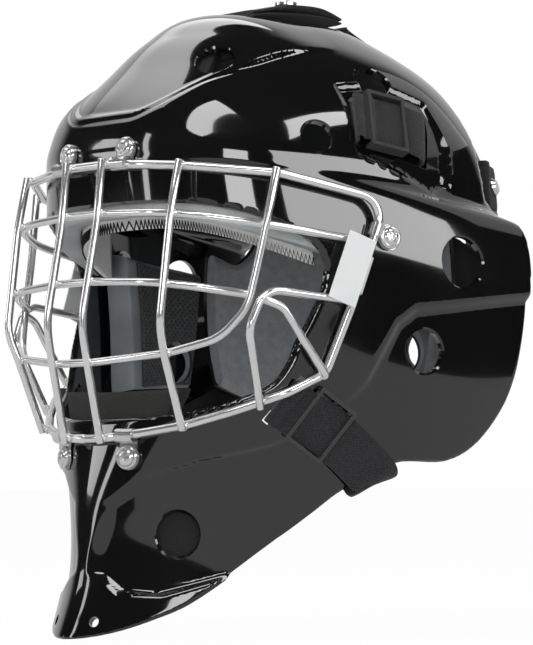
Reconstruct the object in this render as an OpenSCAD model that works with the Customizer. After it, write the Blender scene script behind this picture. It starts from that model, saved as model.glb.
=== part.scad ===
// Hockey goalie mask: moulded shell, welded wire cage, foam lining and a padded back plate on elastic straps.
// Millimetres. The wearer faces -Y, +Z is up, +X is the wearer's left.
// The origin lies on the mid plane, level with the eyes and between the ears.

/* [Shell] */
// Wall of the moulded shell
shell_wall = 3.6; // [3:0.1:4.4]
// Height of the raised crown panel
panel_rise = 2.6; // [1:0.1:3.5]
// Height of the brow ridge
brow_rise = 5; // [2:0.1:6]
// Depth of the recessed side panel
recess_depth = 2.6; // [1:0.1:3]
// Depth of the pocket under the upper strap
pocket_depth = 2.2; // [1:0.1:2.6]
// Diameter of the upper ear vent
ear_vent_d = 24.5; // [16:0.5:27]
// Diameter of the lower ear vent
neck_vent_d = 20.6; // [14:0.5:24]
// Diameter of the jaw vent
jaw_vent_d = 20.6; // [14:0.5:24]
// Diameter of the crown vents
crown_vent_d = 19; // [12:0.5:22]
// Diameter of the temple vent
temple_vent_d = 16; // [10:0.5:18]
// Diameter of the throat guard cord holes
cord_hole_d = 5; // [4:0.5:6]

/* [Cage] */
// Wire of the cage frame
frame_wire_d = 4.2; // [4:0.1:4.4]
// Wire of the bars
bar_wire_d = 3.8; // [3.6:0.1:4.1]
// Inside bend radius of the frame corners
frame_corner_r = 11; // [8:1:14]

/* [Fasteners] */
// Diameter of the clip screw's head
screw_head_d = 11.5; // [9:0.5:12]
// Diameter of the clip screw's shank
screw_shank_d = 5; // [4:0.5:6]
// Width of a clip
clip_w = 9.5; // [8:0.5:12]
// Thickness of a clip's sheet
clip_t = 1.2; // [0.8:0.1:1.6]

/* [Straps] */
// Width of the side webbing
web_w = 24; // [22:1:28]
// Thickness of the webbing
web_t = 1.5; // [1.2:0.1:1.8]
// Wire of the slider's frame
slider_bar = 1.8; // [1.6:0.1:2.4]
// Length of the slider along the strap
slider_len = 21; // [19:1:26]
// Width of the top strap
top_strap_w = 38; // [30:1:42]

/* [Padding] */
// Thickness of the forehead foam
forehead_foam = 13; // [9:0.5:15]
// Thickness of the cheek foam
cheek_foam = 16; // [10:0.5:17]
// Thickness of the crown foam
crown_foam = 10; // [7:0.5:12]
// Thickness of the jaw foam
jaw_foam = 10; // [7:0.5:12]
// Thickness of the back plate's foam
plate_foam = 8; // [5:0.5:9]

/* [Back plate] */
// Wall of the back plate
plate_wall = 2.6; // [2:0.1:3.2]

/* [Clearances] */
// Gap between a soft piece and what it rests on
soft_gap = 0.3; // [0.2:0.05:0.5]
// Gap between a slider and its webbing
slide_gap = 0.35; // [0.3:0.05:0.5]
// Gap between a slider's rails and the edges of its webbing
rail_gap = 0.8; // [0.6:0.1:1]

/* [Hidden] */

// Stations of the outer surface, from the crown down:
// height, tilt towards the rear, half width, front y, rear y, y of the greatest width, squareness
stations = [
    [132, 0, 0, -30, -30, -30, 2.0],
    [128, 0, 29, -75, 2, -30, 2.0],
    [116, 0, 54, -95, 20, -26, 2.05],
    [97, -3, 78, -110, 46, -18, 2.1],
    [74, -7, 93, -125, 66, -12, 2.35],
    [52, -11, 99, -134, 76, -6, 2.7],
    [39, -14, 101, -136, 82, -4, 2.7],
    [31, -14, 108, -136, 92, 36, 2.75],
    [8, -9, 112, -134, 96, 42, 2.75],
    [-20, -4, 113, -133, 94, 40, 2.6],
    [-48, 0, 113, -134, 88, 32, 2.4],
    [-76, 0, 111, -138, 82, 18, 2.05],
    [-108, 0, 106, -143, 72, 0, 1.68],
    [-140, 0, 101, -146, 66, -4, 1.62],
    [-172, 0, 96, -157, 58, -8, 1.6],
    [-196, 0, 92, -163, 52, -10, 1.6]
];
// Stations of the back plate, read only over its rear half; the first one only guides the curve
plate_stations = [
    [130, 0, 12, -20, 12, 0, 2.3],
    [118, 0, 32, -20, 29, 0, 2.3],
    [104, 0, 54, -20, 47, 0, 2.3],
    [82, 0, 74, -20, 65, -2, 2.3],
    [56, 0, 87, -20, 78, -4, 2.3],
    [28, 0, 94.4, -20, 85, -6, 2.3],
    [0, 0, 97.2, -20, 88, -6, 2.3],
    [-26, 0, 97, -20, 87, -4, 2.3],
    [-50, 0, 93, -20, 82, 0, 2.3],
    [-70, 0, 86, -20, 74, 4, 2.3]
];
rear_square = 2.3;
last_station = len(stations) - 1;

// Side view (y, z) of the shell's rear and bottom edge, from the crown to the chin
edge_points = [
    [4, 150], [5, 132], [12, 110], [20, 94], [26, 75], [27, 57], [27, 43], [33, 37], [39, 28], [42, 14],
    [40, -8], [36, -30], [31, -47], [23, -62], [8, -78], [-10, -86], [-37, -87], [-61, -100],
    [-85, -122], [-114, -149], [-132, -160], [-151, -168], [-175, -173]
];
// Side view (y, z) of the face opening, from the brow to the chin
face_points = [
    [-150, 35], [-128, 34], [-107, 28.5], [-91, 21], [-80, 13.5], [-76, 3], [-77, -7], [-82, -20],
    [-87, -31], [-90, -41], [-96, -51], [-107, -57.5], [-122, -63.5], [-136, -66.5], [-150, -67]
];
// Side view (y, z) of the recessed side panel
recess_points = [
    [70, -4], [22, -9], [-30, -15], [-40, -22], [-47, -34], [-56, -50], [-74, -68], [-94, -79],
    [-116, -86], [-128, -94], [-133, -106], [-136, -140], [-133, -147], [-124, -147],
    [-100, -138], [-60, -128], [70, -80]
];
// Side view (y, z) of the pocket under the upper strap
pocket_points = [[-55, 58], [-55, 91], [-30, 94], [-6, 86], [0, 64], [-3, 44], [-14, 42], [-32, 50]];
// Side view (y, z) of the back plate, with the ear notch at the front
plate_outline = [
    [-14, 10], [-12, 21.5], [-5, 24.5], [8, 21], [18, 17.5], [25, 20], [32, 31], [36, 60], [31, 90],
    [22, 116], [24, 122], [120, 122], [120, -66], [60, -64], [23, -52], [0, -40], [-12, -20]
];

// Openings through the shell, as station, angle from the front and diameter
neck_vent = [9.53, 73.9, neck_vent_d];
vents = [
    [8.0, 81.2, ear_vent_d], neck_vent, [12.38, 29.2, jaw_vent_d],
    [2.86, 30.7, crown_vent_d], [4.7, 63.1, temple_vent_d], [3.11, 81.9, crown_vent_d],
    [13.63, 12.6, cord_hole_d]
];
forehead_screw = [5.74, 7.6];
chin_screw = [11.27, 13.3];
side_screw = [7.79, 67.5];
screw_spots = [forehead_screw, chin_screw, side_screw];
bore_play = 0.3;

// Small vector and curve tools
function unit(v) = v / norm(v);
function clamp01(x) = max(0, min(1, x));
function smooth(a, b, x) = let (q = clamp01((x - a) / (b - a))) q * q * (3 - 2 * q);
function spow(v, e) = sign(v) * pow(abs(v), e);
function through(a, b, c, d, q) =
    0.5 * (2 * b + (c - a) * q + (2 * a - 5 * b + 4 * c - d) * q * q + (3 * b - a - 3 * c + d) * q * q * q);
function spline(p, n) = [
    for (i = [0 : len(p) - 2]) for (k = [0 : n - 1])
        through(i > 0 ? p[i - 1] : 2 * p[0] - p[1], p[i], p[i + 1],
            i + 2 < len(p) ? p[i + 2] : 2 * p[i + 1] - p[i], k / n),
    p[len(p) - 1]
];
function seg_dist(p, a, b) = let (e = b - a, k = clamp01((p - a) * e / (e * e))) norm(p - a - k * e);
function crossings(p, poly) = len([
    for (i = [0 : len(poly) - 1]) let (a = poly[i], b = poly[(i + 1) % len(poly)])
        if (((a.y <= p.y) != (b.y <= p.y)) && p.x < a.x + (p.y - a.y) / (b.y - a.y) * (b.x - a.x)) 1
]);
// Distance from a polygon's edge, positive inside
function depth_in(p, poly) =
    (crossings(p, poly) % 2 == 1 ? 1 : -1)
    * min([for (i = [0 : len(poly) - 1]) seg_dist(p, poly[i], poly[(i + 1) % len(poly)])]);
// Stands its children at p, with z along the normal and y as near to "up" as it can be
module place(p, normal, up) {
    z = unit(normal);
    x = unit(cross(up, z));
    y = cross(z, x);
    multmatrix([[x.x, y.x, z.x, p.x], [x.y, y.y, z.y, p.y], [x.z, y.z, z.z, p.z], [0, 0, 0, 1]]) children();
}
module both() {
    children();
    mirror([1, 0, 0]) children();
}

// Surface by stations: t runs down the stations, a is the angle from the front
function station_row(rows, i) =
    i < 0 ? [rows[1][0], rows[1][1], -rows[1][2], rows[1][4], rows[1][3], rows[1][5], rows[1][6]]
    : i >= len(rows) ? 2 * rows[len(rows) - 1] - rows[len(rows) - 2]
    : rows[i];
function station(rows, t) =
    let (i = min(floor(t), len(rows) - 2))
    through(station_row(rows, i - 1), rows[i], rows[i + 1], station_row(rows, i + 2), t - i);
function base_point(rows, t, a) =
    let (
        s = station(rows, t),
        n = cos(a) >= 0 ? s[6] : rear_square,
        y = s[5] + (cos(a) >= 0 ? s[3] - s[5] : s[4] - s[5]) * pow(abs(cos(a)), 2 / n)
    )
    [s[2] * spow(sin(a), 2 / n), y, s[0] + s[1] * y / 100];
function base_normal(rows, t, a) =
    let (
        dt = base_point(rows, t + 0.01, a) - base_point(rows, max(t - 0.01, 0), a),
        da = base_point(rows, t, a + 0.1) - base_point(rows, t, a - 0.1)
    )
    t < 0.02 ? [0, 0, 1] : unit(cross(dt, da));
// Moulded relief: crown panel, brow ridge, recessed side panel and strap pocket
function relief(p) =
    let (
        ax = abs(p.x),
        out = max(ax - 18, 0),
        s = (p.z - 75 - 0.02 * out * out) / sqrt(1 + pow(0.04 * out, 2)),
        side = [p.y, p.z],
        waist = 0.35 + 0.65 * clamp01(abs(p.y + 72) / 22)
    )
    panel_rise * smooth(-1.5, 1.5, s) * (1 - smooth(-75, -35, p.y))
    + brow_rise * smooth(58, 80, p.z) * (1 - smooth(-4, 4, s)) * (1 - smooth(45, 85, ax))
        * (1 - smooth(-110, -80, p.y))
    - recess_depth * waist * smooth(-1.5, 2, depth_in(side, recess_points))
    - (ax > 40 ? pocket_depth * smooth(-1.5, 1.5, depth_in(side, pocket_points)) : 0);
function shell_point(t, a, inward) =
    let (p = base_point(stations, t, a)) p + base_normal(stations, t, a) * (relief(p) - inward);
// A point at height h over the plain surface, without the relief
function over(rows, t, a, h) = base_point(rows, t, a) + base_normal(rows, t, a) * h;
module on_shell(spot, h = 0) {
    place(shell_point(spot[0], spot[1], -h), base_normal(stations, spot[0], spot[1]), [0, 0, 1]) children();
}

// Solid between two grids of points; the outer grid lies on the side that row x column points to
module slab(inner, outer) {
    r = len(outer) - 1;
    c = len(outer[0]) - 1;
    w = c + 1;
    m = (r + 1) * w;
    points = concat([for (row = outer) each row], [for (row = inner) each row]);
    faces = concat(
        [for (i = [0 : r - 1]) for (j = [0 : c - 1]) let (a = i * w + j) [a, a + 1, a + w]],
        [for (i = [0 : r - 1]) for (j = [0 : c - 1]) let (a = i * w + j) [a + 1, a + w + 1, a + w]],
        [for (i = [0 : r - 1]) for (j = [0 : c - 1]) let (a = m + i * w + j) [a, a + w, a + 1]],
        [for (i = [0 : r - 1]) for (j = [0 : c - 1]) let (a = m + i * w + j) [a + 1, a + w, a + w + 1]],
        [for (i = [0 : r - 1]) let (a = i * w, b = a + w) [a, b, b + m]],
        [for (i = [0 : r - 1]) let (a = i * w, b = a + w) [a, b + m, a + m]],
        [for (i = [0 : r - 1]) let (a = i * w + c, b = a + w) [b, a, a + m]],
        [for (i = [0 : r - 1]) let (a = i * w + c, b = a + w) [b, a + m, b + m]],
        [for (j = [0 : c - 1]) [j + 1, j, j + m]],
        [for (j = [0 : c - 1]) [j + 1, j + m, j + 1 + m]],
        [for (j = [0 : c - 1]) let (a = r * w + j) [a, a + 1, a + 1 + m]],
        [for (j = [0 : c - 1]) let (a = r * w + j) [a, a + 1 + m, a + m]]
    );
    polyhedron(points, faces);
}
// A patch of surface between four corners given as station and angle, sunk by a depth plus a crown
function dome(u, v) = (1 - pow(abs(2 * u - 1), 4)) * (1 - pow(abs(2 * v - 1), 4));
function patch(rows, k, nr, nc, depth, crown) = [
    for (i = [0 : nr]) [
        for (j = [0 : nc])
            let (
                u = i / nr,
                v = j / nc,
                q = (1 - u) * ((1 - v) * k[0] + v * k[1]) + u * ((1 - v) * k[3] + v * k[2])
            )
            over(rows, q[0], q[1], -depth - crown * dome(u, v))
    ]
];
// Flat band along centre points, with its own width direction at each one
function run(c, i) = unit(c[min(i + 1, len(c) - 1)] - c[max(i - 1, 0)]);
module band(c, w, width, thick) {
    last = len(c) - 1;
    points = [
        for (i = [0 : last]) let (n = unit(cross(run(c, i), w[i])), x = w[i] * width / 2, y = n * thick / 2)
            each [c[i] - x + y, c[i] + x + y, c[i] + x - y, c[i] - x - y]
    ];
    faces = concat(
        [for (i = [0 : last - 1]) for (k = [0 : 3])
            let (a = 4 * i + k, b = 4 * i + (k + 1) % 4) each [[a, b, a + 4], [b, b + 4, a + 4]]],
        [[3, 2, 1, 0], [4 * last, 4 * last + 1, 4 * last + 2, 4 * last + 3]]
    );
    polyhedron(points, faces);
}

// A thick cup: outer and inner skins of the shell joined round their lowest ring
shell_rings = 44;
shell_sides = 60;
function skin(inward) = [
    for (i = [1 : shell_rings]) for (k = [0 : shell_sides - 1])
        shell_point(last_station * i / shell_rings, 360 * k / shell_sides, inward)
];
module shell_cup() {
    count = shell_rings * shell_sides;
    s = shell_sides;
    crown = shell_point(0, 0, 0);
    crown_in = shell_point(0, 0, shell_wall);
    points = concat(skin(0), skin(shell_wall), [crown, crown_in]);
    faces = concat(
        [for (k = [0 : s - 1]) [2 * count, (k + 1) % s, k]],
        [for (k = [0 : s - 1]) [2 * count + 1, count + k, count + (k + 1) % s]],
        [for (i = [0 : shell_rings - 2]) for (k = [0 : s - 1])
            let (a = i * s + k, b = i * s + (k + 1) % s) each [[a, b, a + s], [b, b + s, a + s]]],
        [for (i = [0 : shell_rings - 2]) for (k = [0 : s - 1])
            let (a = count + i * s + k, b = count + i * s + (k + 1) % s)
            each [[a, a + s, b], [b, a + s, b + s]]],
        [for (k = [0 : s - 1])
            let (a = count - s + k, b = count - s + (k + 1) % s)
            each [[a, b, a + count], [b, b + count, a + count]]]
    );
    polyhedron(points, faces);
}
module side_profile(points, half_width) {
    rotate([90, 0, 90]) translate([0, 0, -half_width]) linear_extrude(2 * half_width) polygon(points);
}
profile_half = 140;
front_clear = 230;
function open_front(p) = concat(
    spline(p, 3), [[-front_clear, p[len(p) - 1][1]], [-front_clear, p[0][1]]]
);
bore_reach = 14;
module shell() {
    color("#101012") difference() {
        intersection() {
            shell_cup();
            side_profile(open_front(edge_points), profile_half);
        }
        side_profile(open_front(face_points), profile_half);
        both() {
            for (v = vents) on_shell(v) cylinder(d = v[2], h = 2 * bore_reach, center = true, $fn = 48);
            for (s = screw_spots) on_shell(s)
                cylinder(d = screw_shank_d + bore_play, h = 2 * bore_reach, center = true, $fn = 32);
            strap_slot(upper_start, upper_way);
            strap_slot(upper_end, upper_way);
            strap_slot(lower_start, lower_way);
        }
    }
}

// Straps: each runs out of a slot, along the shell, and in again
upper_start = [4.12, 73.5];
upper_mid = [4.19, 80];
upper_end = [4.36, 89.4];
lower_start = [10.36, 45.8];
lower_mid = [10.75, 53.3];
lower_end = [11.52, 65.3];
slot_gap = 5;
slot_play = 3.4;
slot_depth = 24;
upper_lift = 1.55;
lower_lift = 3.7;
function plain(spot) = base_point(stations, spot[0], spot[1]);
function plain_normal(spot) = base_normal(stations, spot[0], spot[1]);
upper_way = unit(plain(upper_end) - plain(upper_start));
lower_way = unit(plain(lower_end) - plain(lower_start));
function width_at(spot, way) = unit(cross(plain_normal(spot), way));
module strap_slot(spot, way) {
    place(plain(spot), plain_normal(spot), width_at(spot, way))
        cube([slot_gap, web_w + slot_play, slot_depth], center = true);
}
upper_path = [
    [4.1, 69.8, -8.1], [4.1, 71.8, -8.1], [4.11, 73, -7.2], [4.12, 73.45, -4.5], [4.12, 73.6, -1.5],
    [4.13, 74.1, 0.5], [4.15, 75.2, 1.4], [4.18, 77.6, upper_lift], [4.2, 80.8, upper_lift],
    [4.24, 84.6, upper_lift], [4.3, 87.4, 1.3], [4.34, 88.7, 0.3], [4.36, 89.3, -1.8], [4.36, 89.45, -5],
    [4.36, 89.6, -8]
];
lower_path = [
    [10.3, 43.2, -5.6], [10.32, 44.6, -5.4], [10.35, 45.4, -4.4], [10.36, 45.75, -2.4], [10.37, 46.1, 0],
    [10.4, 46.9, 1.7], [10.48, 48.3, 2.9], [10.62, 50.9, lower_lift], [10.78, 53.8, lower_lift],
    [10.94, 56.4, lower_lift], [11.16, 59.8, 3], [11.36, 62.9, 2.2], [11.52, 65.3, 1.9]
];
lower_fold = [0.39, 0.83, 0.4];
module upper_strap() {
    c = [for (q = upper_path) over(stations, q[0], q[1], q[2])];
    w = [for (q = upper_path) width_at(q, upper_way)];
    band(c, w, web_w, web_t);
}
module lower_strap() {
    hem = over(stations, lower_end[0], lower_end[1], 0);
    c = concat(
        [for (q = lower_path) over(stations, q[0], q[1], q[2])],
        [hem + [0.1, 2.0, -3.4], hem + [-2.6, 2.4, -4.3], hem + [-5.9, 2.4, -3], hem + [-7.2, 3, 1.2]]
    );
    n = len(lower_path);
    w = [for (i = [0 : len(c) - 1])
        let (m = smooth(n - 5, n - 1, i), plain_way = width_at(lower_path[min(i, n - 1)], lower_way))
        unit((1 - m) * plain_way + m * unit(lower_fold))];
    band(c, w, web_w, web_t);
}
module upper_straps() {
    color("#242426") both() upper_strap();
}
module lower_straps() {
    color("#242426") both() lower_strap();
}

// Sliders: a frame whose end bars pass over the strap and whose middle bar passes under it
module slider(spot, way, lift) {
    rail_x = web_w / 2 + rail_gap + slider_bar / 2;
    low = -web_t / 2 - slide_gap - slider_bar / 2;
    high = web_t / 2 + slide_gap + slider_bar / 2;
    end_y = slider_len / 2 - slider_bar / 2;
    p = over(stations, spot[0], spot[1], lift);
    color("#5a5c60") place(p, cross(way, width_at(spot, way)), way) {
        for (s = [-1, 1]) translate([s * rail_x, 0, (low + high) / 2])
            cube([slider_bar, slider_len, high - low + slider_bar], center = true);
        for (s = [-1, 1]) translate([0, s * end_y, high])
            cube([2 * rail_x, slider_bar, slider_bar], center = true);
        translate([0, 0, low]) cube([2 * rail_x, slider_bar, slider_bar], center = true);
    }
}
upper_tangent = unit(over(stations, 4.24, 84.6, 0) - over(stations, 4.18, 77.6, 0));
lower_tangent = unit(over(stations, 10.94, 56.4, 0) - over(stations, 10.62, 50.9, 0));
module upper_slider_left() {
    slider(upper_mid, upper_tangent, upper_lift);
}
module upper_slider_right() {
    mirror([1, 0, 0]) slider(upper_mid, upper_tangent, upper_lift);
}
module lower_slider_left() {
    slider(lower_mid, lower_tangent, lower_lift);
}
module lower_slider_right() {
    mirror([1, 0, 0]) slider(lower_mid, lower_tangent, lower_lift);
}

// Cage: points along the centre line of each wire on the wearer's left, welded crossings a little sunk
frame_points = [
    [0, -141.8, 54], [14, -140.7, 53.4], [36, -137.4, 52], [59, -131.4, 50.3], [92.1, -101.9, 46.3],
    [108.2, -49.6, 35], [104.2, -67.8, -15.4], [98, -78, -46], [90.5, -95, -55], [71, -112.3, -63.5],
    [53.6, -125.2, -69.5], [33, -135.9, -73.1], [14, -141.2, -75.2], [0, -142.2, -75.5]
];
brow_points = [
    [0, -144, 31], [14, -143, 30.2], [60.65, -139.6, 28.2], [90.7, -107.1, 22.5], [106.35, -58.3, 15.2]
];
eye_points = [[0, -149.6, -1.8], [14, -148.8, -2.2], [60.15, -142.95, -4.2], [87.3, -114.6, -10]];
muzzle_points = [
    [94.5, -104, 48.6], [91, -109.5, 15], [88, -116, -16], [78, -124.3, -30], [56.4, -138, -36.5],
    [14, -148.8, -40], [0, -149.3, -40]
];
centre_points = [
    [13.9, -144, 56], [13.9, -146.6, 28], [13.9, -155.8, -21.4], [13.9, -151.8, -42], [13.9, -144.3, -77.8]
];
outer_points = [
    [60.1, -134.1, 52.8], [60.4, -139.4, 28], [60.4, -145.5, -23.6], [57.7, -141, -36.5], [54.85, -127.85, -72]
];
corner_points = [[104.3, -68.2, -12], [94, -111, -7.5], [92, -118.6, -26], [83.25, -104.6, -62.4]];
brace_points = [[94.2, -111.5, -12.4], [97.3, -103, -15.5], [100.9, -80.2, -46.8]];
bar_bend_r = 60;
muzzle_bend_r = 24;
corner_bend_r = 12;
brace_bend_r = 8;
wire_facets = 20;
butt_bead = 0.6;

// Wire along points: straight runs let into round bends, which are a hair thicker
bend_swell = 0.1;
bend_lap = 0.3;
least_reach = 3;
function turn_at(p, i) = acos(unit(p[i] - p[i - 1]) * unit(p[i + 1] - p[i]));
function reach_at(p, i, r) = min(
    max(r * tan(turn_at(p, i) / 2), least_reach),
    0.46 * min(norm(p[i] - p[i - 1]), norm(p[i + 1] - p[i]))
);
module wire(p, d, r) {
    last = len(p) - 1;
    function run_cut(i) = i == 0 || i == last ? 0 : reach_at(p, i, r) - bend_lap;
    for (i = [0 : last - 1]) {
        way = unit(p[i + 1] - p[i]);
        place(p[i] + way * run_cut(i), way, abs(way.z) < 0.9 ? [0, 0, 1] : [0, 1, 0])
            cylinder(d = d, h = norm(p[i + 1] - p[i]) - run_cut(i) - run_cut(i + 1), $fn = wire_facets);
    }
    for (i = [1 : last - 1]) {
        turn = turn_at(p, i);
        reach = reach_at(p, i, r);
        bend = reach / tan(turn / 2);
        into = unit(p[i] - p[i - 1]);
        inside = unit(unit(p[i + 1] - p[i]) - into);
        centre = p[i] + inside * bend / cos(turn / 2);
        x = unit(p[i] - into * reach - centre);
        multmatrix([
            [x.x, into.x, cross(x, into).x, centre.x],
            [x.y, into.y, cross(x, into).y, centre.y],
            [x.z, into.z, cross(x, into).z, centre.z],
            [0, 0, 0, 1]
        ]) rotate_extrude(angle = turn, $fn = 120)
            translate([bend, 0]) circle(d = d + bend_swell, $fn = wire_facets);
    }
}
// The whole wire from one half: down the far side in reverse, then down the near side
function flip(p) = [for (q = p) [-q.x, q.y, q.z]];
function tail(p) = [for (i = [1 : len(p) - 1]) p[i]];
function backwards(p) = [for (i = [len(p) - 1 : -1 : 0]) p[i]];
function across(p) = concat(backwards(flip(tail(p))), tail(p));
module cage_frame() {
    low = frame_points[len(frame_points) - 1];
    color("#d9dce0") {
        wire(across(frame_points), frame_wire_d, frame_corner_r);
        translate(low) rotate([0, 90, 0])
            cylinder(d = frame_wire_d + butt_bead, h = 3, center = true, $fn = 24);
    }
}
module brow_bar() {
    color("#d9dce0") wire(across(brow_points), bar_wire_d, bar_bend_r);
}
module eye_bar() {
    color("#d9dce0") wire(across(eye_points), bar_wire_d, bar_bend_r);
}
module muzzle_bar() {
    half = [for (i = [0 : len(muzzle_points) - 2]) muzzle_points[i]];
    color("#d9dce0") wire(concat(half, backwards(flip(half))), bar_wire_d, muzzle_bend_r);
}
module centre_bars() {
    color("#d9dce0") both() wire(centre_points, bar_wire_d, bar_bend_r);
}
module outer_bars() {
    color("#d9dce0") both() wire(outer_points, bar_wire_d, bar_bend_r);
}
module corner_bars() {
    color("#d9dce0") both() wire(corner_points, bar_wire_d, corner_bend_r);
}
module corner_braces() {
    color("#d9dce0") both() wire(brace_points, bar_wire_d, brace_bend_r);
}

// Tags: a stiff white flag folded round the frame's side wire
tag_w = 14;
tag_h = 33;
tag_t = 0.8;
tag_tilt = 5.5;
side_top = [108.2, -49.6, 35];
side_low = [104.2, -67.8, -15.4];
side_way = unit(side_top - side_low);
module cage_tags() {
    p = side_low + (side_top - side_low) * 0.31;
    out = unit(cross(side_way, [0.3, 0.95, 0]));
    lift = frame_wire_d / 2 + 0.1;
    color("#f2f3f4") both() place(p, -out, side_way) {
        rotate([0, tag_tilt, 0])
            translate([-tag_w, -tag_h / 2, lift + 0.15]) cube([tag_w + 0.5, tag_h, tag_t]);
        difference() {
            rotate([90, 0, 0]) cylinder(r = lift + tag_t, h = 18, center = true, $fn = 32);
            rotate([90, 0, 0]) cylinder(r = lift, h = 20, center = true, $fn = 32);
        }
    }
}

// Clips: a sheet loop round the wire with a tab under the screw
tab_gap = 0.4;
loop_play = 0.1;
head_play = 0.3;
module clip(spot, up, out, a, b) {
    ring = frame_wire_d / 2 + loop_play;
    difference() {
        on_shell(spot, tab_gap) difference() {
            union() {
                cylinder(r = clip_w / 2 + 1.2, h = clip_t, $fn = 40);
                translate([-clip_w / 2, min(up, 0), 0]) cube([clip_w, abs(up), clip_t]);
                translate([0, up, out - tab_gap]) rotate([0, 90, 0])
                    cylinder(r = ring + clip_t, h = clip_w, center = true, $fn = 40);
            }
            cylinder(d = screw_shank_d + bore_play, h = 8, center = true, $fn = 32);
            translate([0, 0, clip_t]) cylinder(d = screw_head_d + 2 * head_play, h = 9, $fn = 40);
        }
        place(a, b - a, [0, 0, 1]) cylinder(r = ring, h = norm(b - a), $fn = 40);
    }
}
module forehead_clips() {
    color("#c9ccd0") both() clip(forehead_screw, -7, 4.3, frame_points[1], frame_points[2]);
}
module chin_clips() {
    color("#c9ccd0") both() clip(chin_screw, 10.1, 3.85, frame_points[12], frame_points[11]);
}
// The side clip reaches forward to the frame's side wire, between the tag and the brow bar
side_reach = 8.5;
side_clip_w = clip_w - 3.5;
module side_clips() {
    ring = frame_wire_d / 2 + loop_play;
    p = shell_point(side_screw[0], side_screw[1], -tab_gap);
    n = base_normal(stations, side_screw[0], side_screw[1]);
    beside = side_low + side_way * ((p - side_low) * side_way);
    color("#c9ccd0") both() difference() {
        union() {
            place(p, n, side_way) {
                cylinder(r = clip_w / 2 + 1.2, h = clip_t, $fn = 40);
                translate([-side_reach, -side_clip_w / 2, 0]) cube([side_reach, side_clip_w, clip_t]);
            }
            place(beside, side_way, [1, 0, 0])
                cylinder(r = ring + clip_t, h = side_clip_w, center = true, $fn = 40);
        }
        place(p, n, side_way) {
            cylinder(d = screw_shank_d + bore_play, h = 8, center = true, $fn = 32);
            translate([0, 0, clip_t]) cylinder(d = screw_head_d + 2 * head_play, h = 9, $fn = 40);
        }
        place(beside, side_way, [1, 0, 0]) cylinder(r = ring, h = side_clip_w + 6, center = true, $fn = 40);
    }
}
head_h = 3.2;
recess_w = 1.3;
nut_h = 2.6;
nut_gap = 0.6;
flange_d = 10.6;
module screw() {
    seat = tab_gap + clip_t + 0.1;
    reach = shell_wall + nut_gap + nut_h + 0.3;
    difference() {
        union() {
            translate([0, 0, seat])
                cylinder(d1 = screw_head_d, d2 = screw_head_d - 2, h = head_h - 1.2, $fn = 40);
            translate([0, 0, seat + head_h - 1.2])
                cylinder(d1 = screw_head_d - 2, d2 = screw_head_d - 5, h = 1.2, $fn = 40);
            translate([0, 0, -reach]) cylinder(d = screw_shank_d, h = reach + seat + 0.5, $fn = 32);
        }
        for (turn = [0, 90]) rotate(turn)
            translate([-2.6, -recess_w / 2, seat + head_h - 1.7]) cube([5.2, recess_w, 3]);
    }
}
module clip_screws() {
    color("#d5d8dc") both() for (s = screw_spots) on_shell(s) screw();
}
module clip_nuts() {
    color("#b9bcc0") both() for (s = screw_spots) on_shell(s, -shell_wall - nut_gap) mirror([0, 0, 1])
        difference() {
            union() {
                cylinder(d = flange_d, h = 0.9, $fn = 40);
                cylinder(d = 9.2, h = nut_h, $fn = 6);
            }
            translate([0, 0, -1]) cylinder(d = screw_shank_d, h = nut_h + 2, $fn = 32);
        }
}

// Pads: corners are station and angle, in the order top front, top rear, bottom rear, bottom front
pad_seat = shell_wall + 0.5;
side_seat = shell_wall + recess_depth + 0.15;
edge_share = 0.72;
module pad(k, nr, nc, seat, thick) {
    slab(
        patch(stations, k, nr, nc, seat + thick * edge_share, thick * (1 - edge_share)),
        patch(stations, k, nr, nc, seat, 0)
    );
}
// Room in a pad for the nut and the screw's end
pocket_play = 1.4;
module nut_pocket(spot) {
    on_shell(spot, -shell_wall - nut_gap - nut_h - pocket_play)
        cylinder(d = flange_d + 2 * pocket_play, h = 20, $fn = 40);
}
forehead_edge = 58;
// A strip across the forehead, its lower edge falling towards the temples
function brow_strip(top, low, droop, edge, nr, nc, depth) = [
    for (i = [0 : nr]) [
        for (j = [-nc : nc])
            over(stations, top + (low + droop * pow(j / nc, 2) - top) * i / nr, edge * j / nc, -depth)
    ]
];
module forehead_pad() {
    color("#a9adb1") difference() {
        slab(
            brow_strip(5.7, 7.67, 0.43, forehead_edge, 6, 10, pad_seat + forehead_foam),
            brow_strip(5.7, 7.67, 0.43, forehead_edge, 6, 10, pad_seat)
        );
        both() nut_pocket(forehead_screw);
    }
}
band_t = 3;
module sweatband() {
    seat = pad_seat + forehead_foam + soft_gap;
    color("#eeeeea") slab(
        brow_strip(6.7, 7.72, 0.38, forehead_edge - 4, 4, 10, seat + band_t),
        brow_strip(6.7, 7.72, 0.38, forehead_edge - 4, 4, 10, seat)
    );
}
module crown_pad() {
    color("#1b1b1d")
        pad([[1.5, -34], [1.5, 34], [4.1, 24], [4.1, -24]], 8, 6, shell_wall - panel_rise + 0.5, crown_foam);
}
module temple_pads() {
    color("#1b1b1d") both()
        pad([[5.3, 61], [5.3, 79], [6.9, 81], [6.9, 63.5]], 5, 5, pad_seat + 0.5, forehead_foam - 1);
}
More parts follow.
